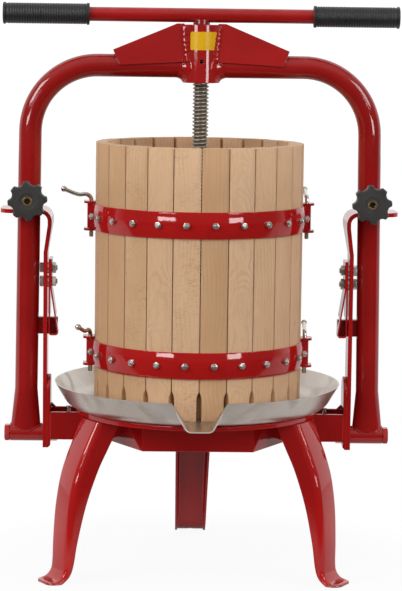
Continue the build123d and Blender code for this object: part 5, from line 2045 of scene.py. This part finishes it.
@dataclass
class Studio:
    """Pale floor, soft boxes, white surroundings and the camera. Sizes in metres, angles in degrees."""

    image: tuple[int, int] = (402, 591)
    focal_pixels: float = 2380.0
    sensor: float = 36.0
    camera_place: Triple = (-0.066, -3.230, 0.766)
    yaw: float = -1.24
    pitch: float = 6.9
    roll: float = 0.75
    front_tone: float = 0.14
    ceiling_tone: float = 0.66
    ceiling_range: Pair = (0.15, 0.75)
    back_tone: float = 1.06
    back_range: Pair = (-0.08, 0.48)
    floor_half: float = 9000.0
    floor_height: float = -0.2
    floor_lift: float = 0.92
    floor_ring: Pair = (0.24, 0.42)
    # Share of the floor that reflections see as a glow: a painted reflection of a lit floor.
    floor_mirror: float = 0.35
    floor_tones: Pair = (0.60, 0.64)
    floor_dark: float = 0.06
    floor_rough: float = 0.9
    floor_shine: float = 0.1
    near_range: Pair = (-0.42, -0.24)
    # Glow that only reflections see, near the press and behind it: a painted reflection.
    near_glow: float = 0.55
    rear_range: Pair = (-0.1, 0.2)
    rear_glow: Pair = (0.03, 0.45)
    aim: Triple = (0.0, 0.0, 0.45)
    boxes: tuple[SoftBox, ...] = (
        SoftBox("soft_box_left", (-2.62, -3.66, 0.84), (1.50, 0.40), 23.0),
        SoftBox("soft_box_right", (2.80, -3.52, 0.75), (1.25, 0.52), 23.0),
        SoftBox("key_left", (-2.70, -1.69, 2.14), (1.3, 1.2), 54.0),
        SoftBox("key_right", (2.70, -1.69, 2.14), (1.3, 1.2), 35.0),
        SoftBox("fill_front", (-0.1, -3.4, 1.5), (1.6, 1.2), 12.0, mirrored=False),
        SoftBox("strip_left_0", (-2.62, -3.66, 1.48), (1.45, 0.07), 3.6),
        SoftBox("strip_right_0", (2.80, -3.52, 1.48), (1.20, 0.07), 3.0),
        SoftBox("strip_left_1", (-2.62, -3.66, 1.74), (1.45, 0.07), 3.6),
        SoftBox("strip_right_1", (2.80, -3.52, 1.74), (1.20, 0.07), 3.0))

    def camera(self) -> None:
        """Set up the camera at the photograph's viewpoint."""
        data = bpy.data.cameras.new("camera")
        data.sensor_width = self.sensor
        data.lens = self.focal_pixels / max(self.image) * self.sensor
        made = link("camera", data)
        turn = (Matrix.Rotation(math.radians(self.yaw), 4, "Z")
                @ Matrix.Rotation(math.radians(90.0 - self.pitch), 4, "X")
                @ Matrix.Rotation(math.radians(self.roll), 4, "Z"))
        made.matrix_world = Matrix.Translation(self.camera_place) @ turn
        bpy.context.scene.camera = made

    def surroundings(self) -> None:
        """Set up the world: white to the camera, and a pale room that darkens towards the camera's side."""
        world = bpy.data.worlds.new("studio")
        world.use_nodes = True
        bpy.context.scene.world = world
        graph = Graph(world.node_tree)
        _, y, z = graph.parts(graph.add("TexCoord").outputs["Generated"])
        behind = graph.span(y, *self.back_range, self.front_tone, self.back_tone)
        above = graph.span(z, *self.ceiling_range, self.front_tone, self.ceiling_tone)
        camera = graph.add("LightPath").outputs["Is Camera Ray"]
        background = world.node_tree.nodes["Background"]
        background.inputs["Color"].default_value = (1.0, 1.0, 1.0, 1.0)
        graph.feed(background.inputs["Strength"], graph.most(graph.most(behind, above), camera))

    def paper(self) -> bpy.types.Material:
        """Make the floor's material: white to the camera, apart from the shadow round the feet, and partly a
        glow in reflections, which is a painted reflection of a lit floor.

        Returns:
            The material.
        """
        pale = bpy.data.materials.new("floor_paper")
        pale.use_nodes = True
        graph = Graph(pale.node_tree)
        shader = pale.node_tree.nodes["Principled BSDF"]
        x, y, _ = graph.parts(graph.place())
        near = graph.span(y, *self.near_range)
        low, high = self.floor_tones
        tone = graph.use(Effects.mottle(), scale=3.0, low=low, high=high)["Value"]
        grey = graph.plus(graph.times(near, tone), self.floor_dark)
        graph.feed(shader.inputs["Base Color"], graph.join(grey, grey, grey))
        shader.inputs["Roughness"].default_value = self.floor_rough
        shader.inputs["Specular IOR Level"].default_value = self.floor_shine
        path = graph.add("LightPath").outputs
        camera = path["Is Camera Ray"]
        # Painted reflection: a glow that only reflections see, brightest near the press and rising behind it.
        rear = graph.span(y, *self.rear_range, *self.rear_glow)
        mirrored = graph.plus(graph.times(near, self.near_glow), rear)
        glow = graph.add("Emission")
        graph.feed(glow.inputs["Strength"], graph.most(mirrored, camera))
        glossy = graph.most(path["Is Glossy Ray"], path["Is Transmission Ray"])
        ring = graph.span(graph.from_axis(x, y), *self.floor_ring, self.floor_lift, 1.0)
        share = graph.most(graph.times(camera, ring), graph.times(glossy, self.floor_mirror))
        mixed = graph.fill(graph.add("MixShader"), (share, shader.outputs[0], glow.outputs[0]))[0]
        graph.feed(pale.node_tree.nodes["Material Output"].inputs["Surface"], mixed)
        return pale

    def floor(self) -> None:
        """Lay the floor."""
        shape = Shape()
        half = self.floor_half
        shape.mesh.faces.new([shape.mesh.verts.new((x, y, self.floor_height))
                              for x, y in ((-half, -half), (half, -half), (half, half), (-half, half))])
        made = shape.piece("floor")
        made.data.materials.append(self.paper())

    def build(self) -> None:
        """Set up the whole studio."""
        bpy.context.scene.view_settings.view_transform = "Standard"
        self.camera()
        self.surroundings()
        self.floor()
        for box in self.boxes:
            box.light(self.aim)
        LOG.info("studio ready")


def main() -> None:
    """Build every sub-assembly in order."""
    logging.basicConfig(level=logging.INFO, format="%(name)s: %(message)s")
    Studio().build()
    for assembly in (Basket(), PressScrew(), Handle(), Yoke(), Base(), Legs(), ClampKnobs()):
        assembly.build()


if __name__ == "__main__":
    main()
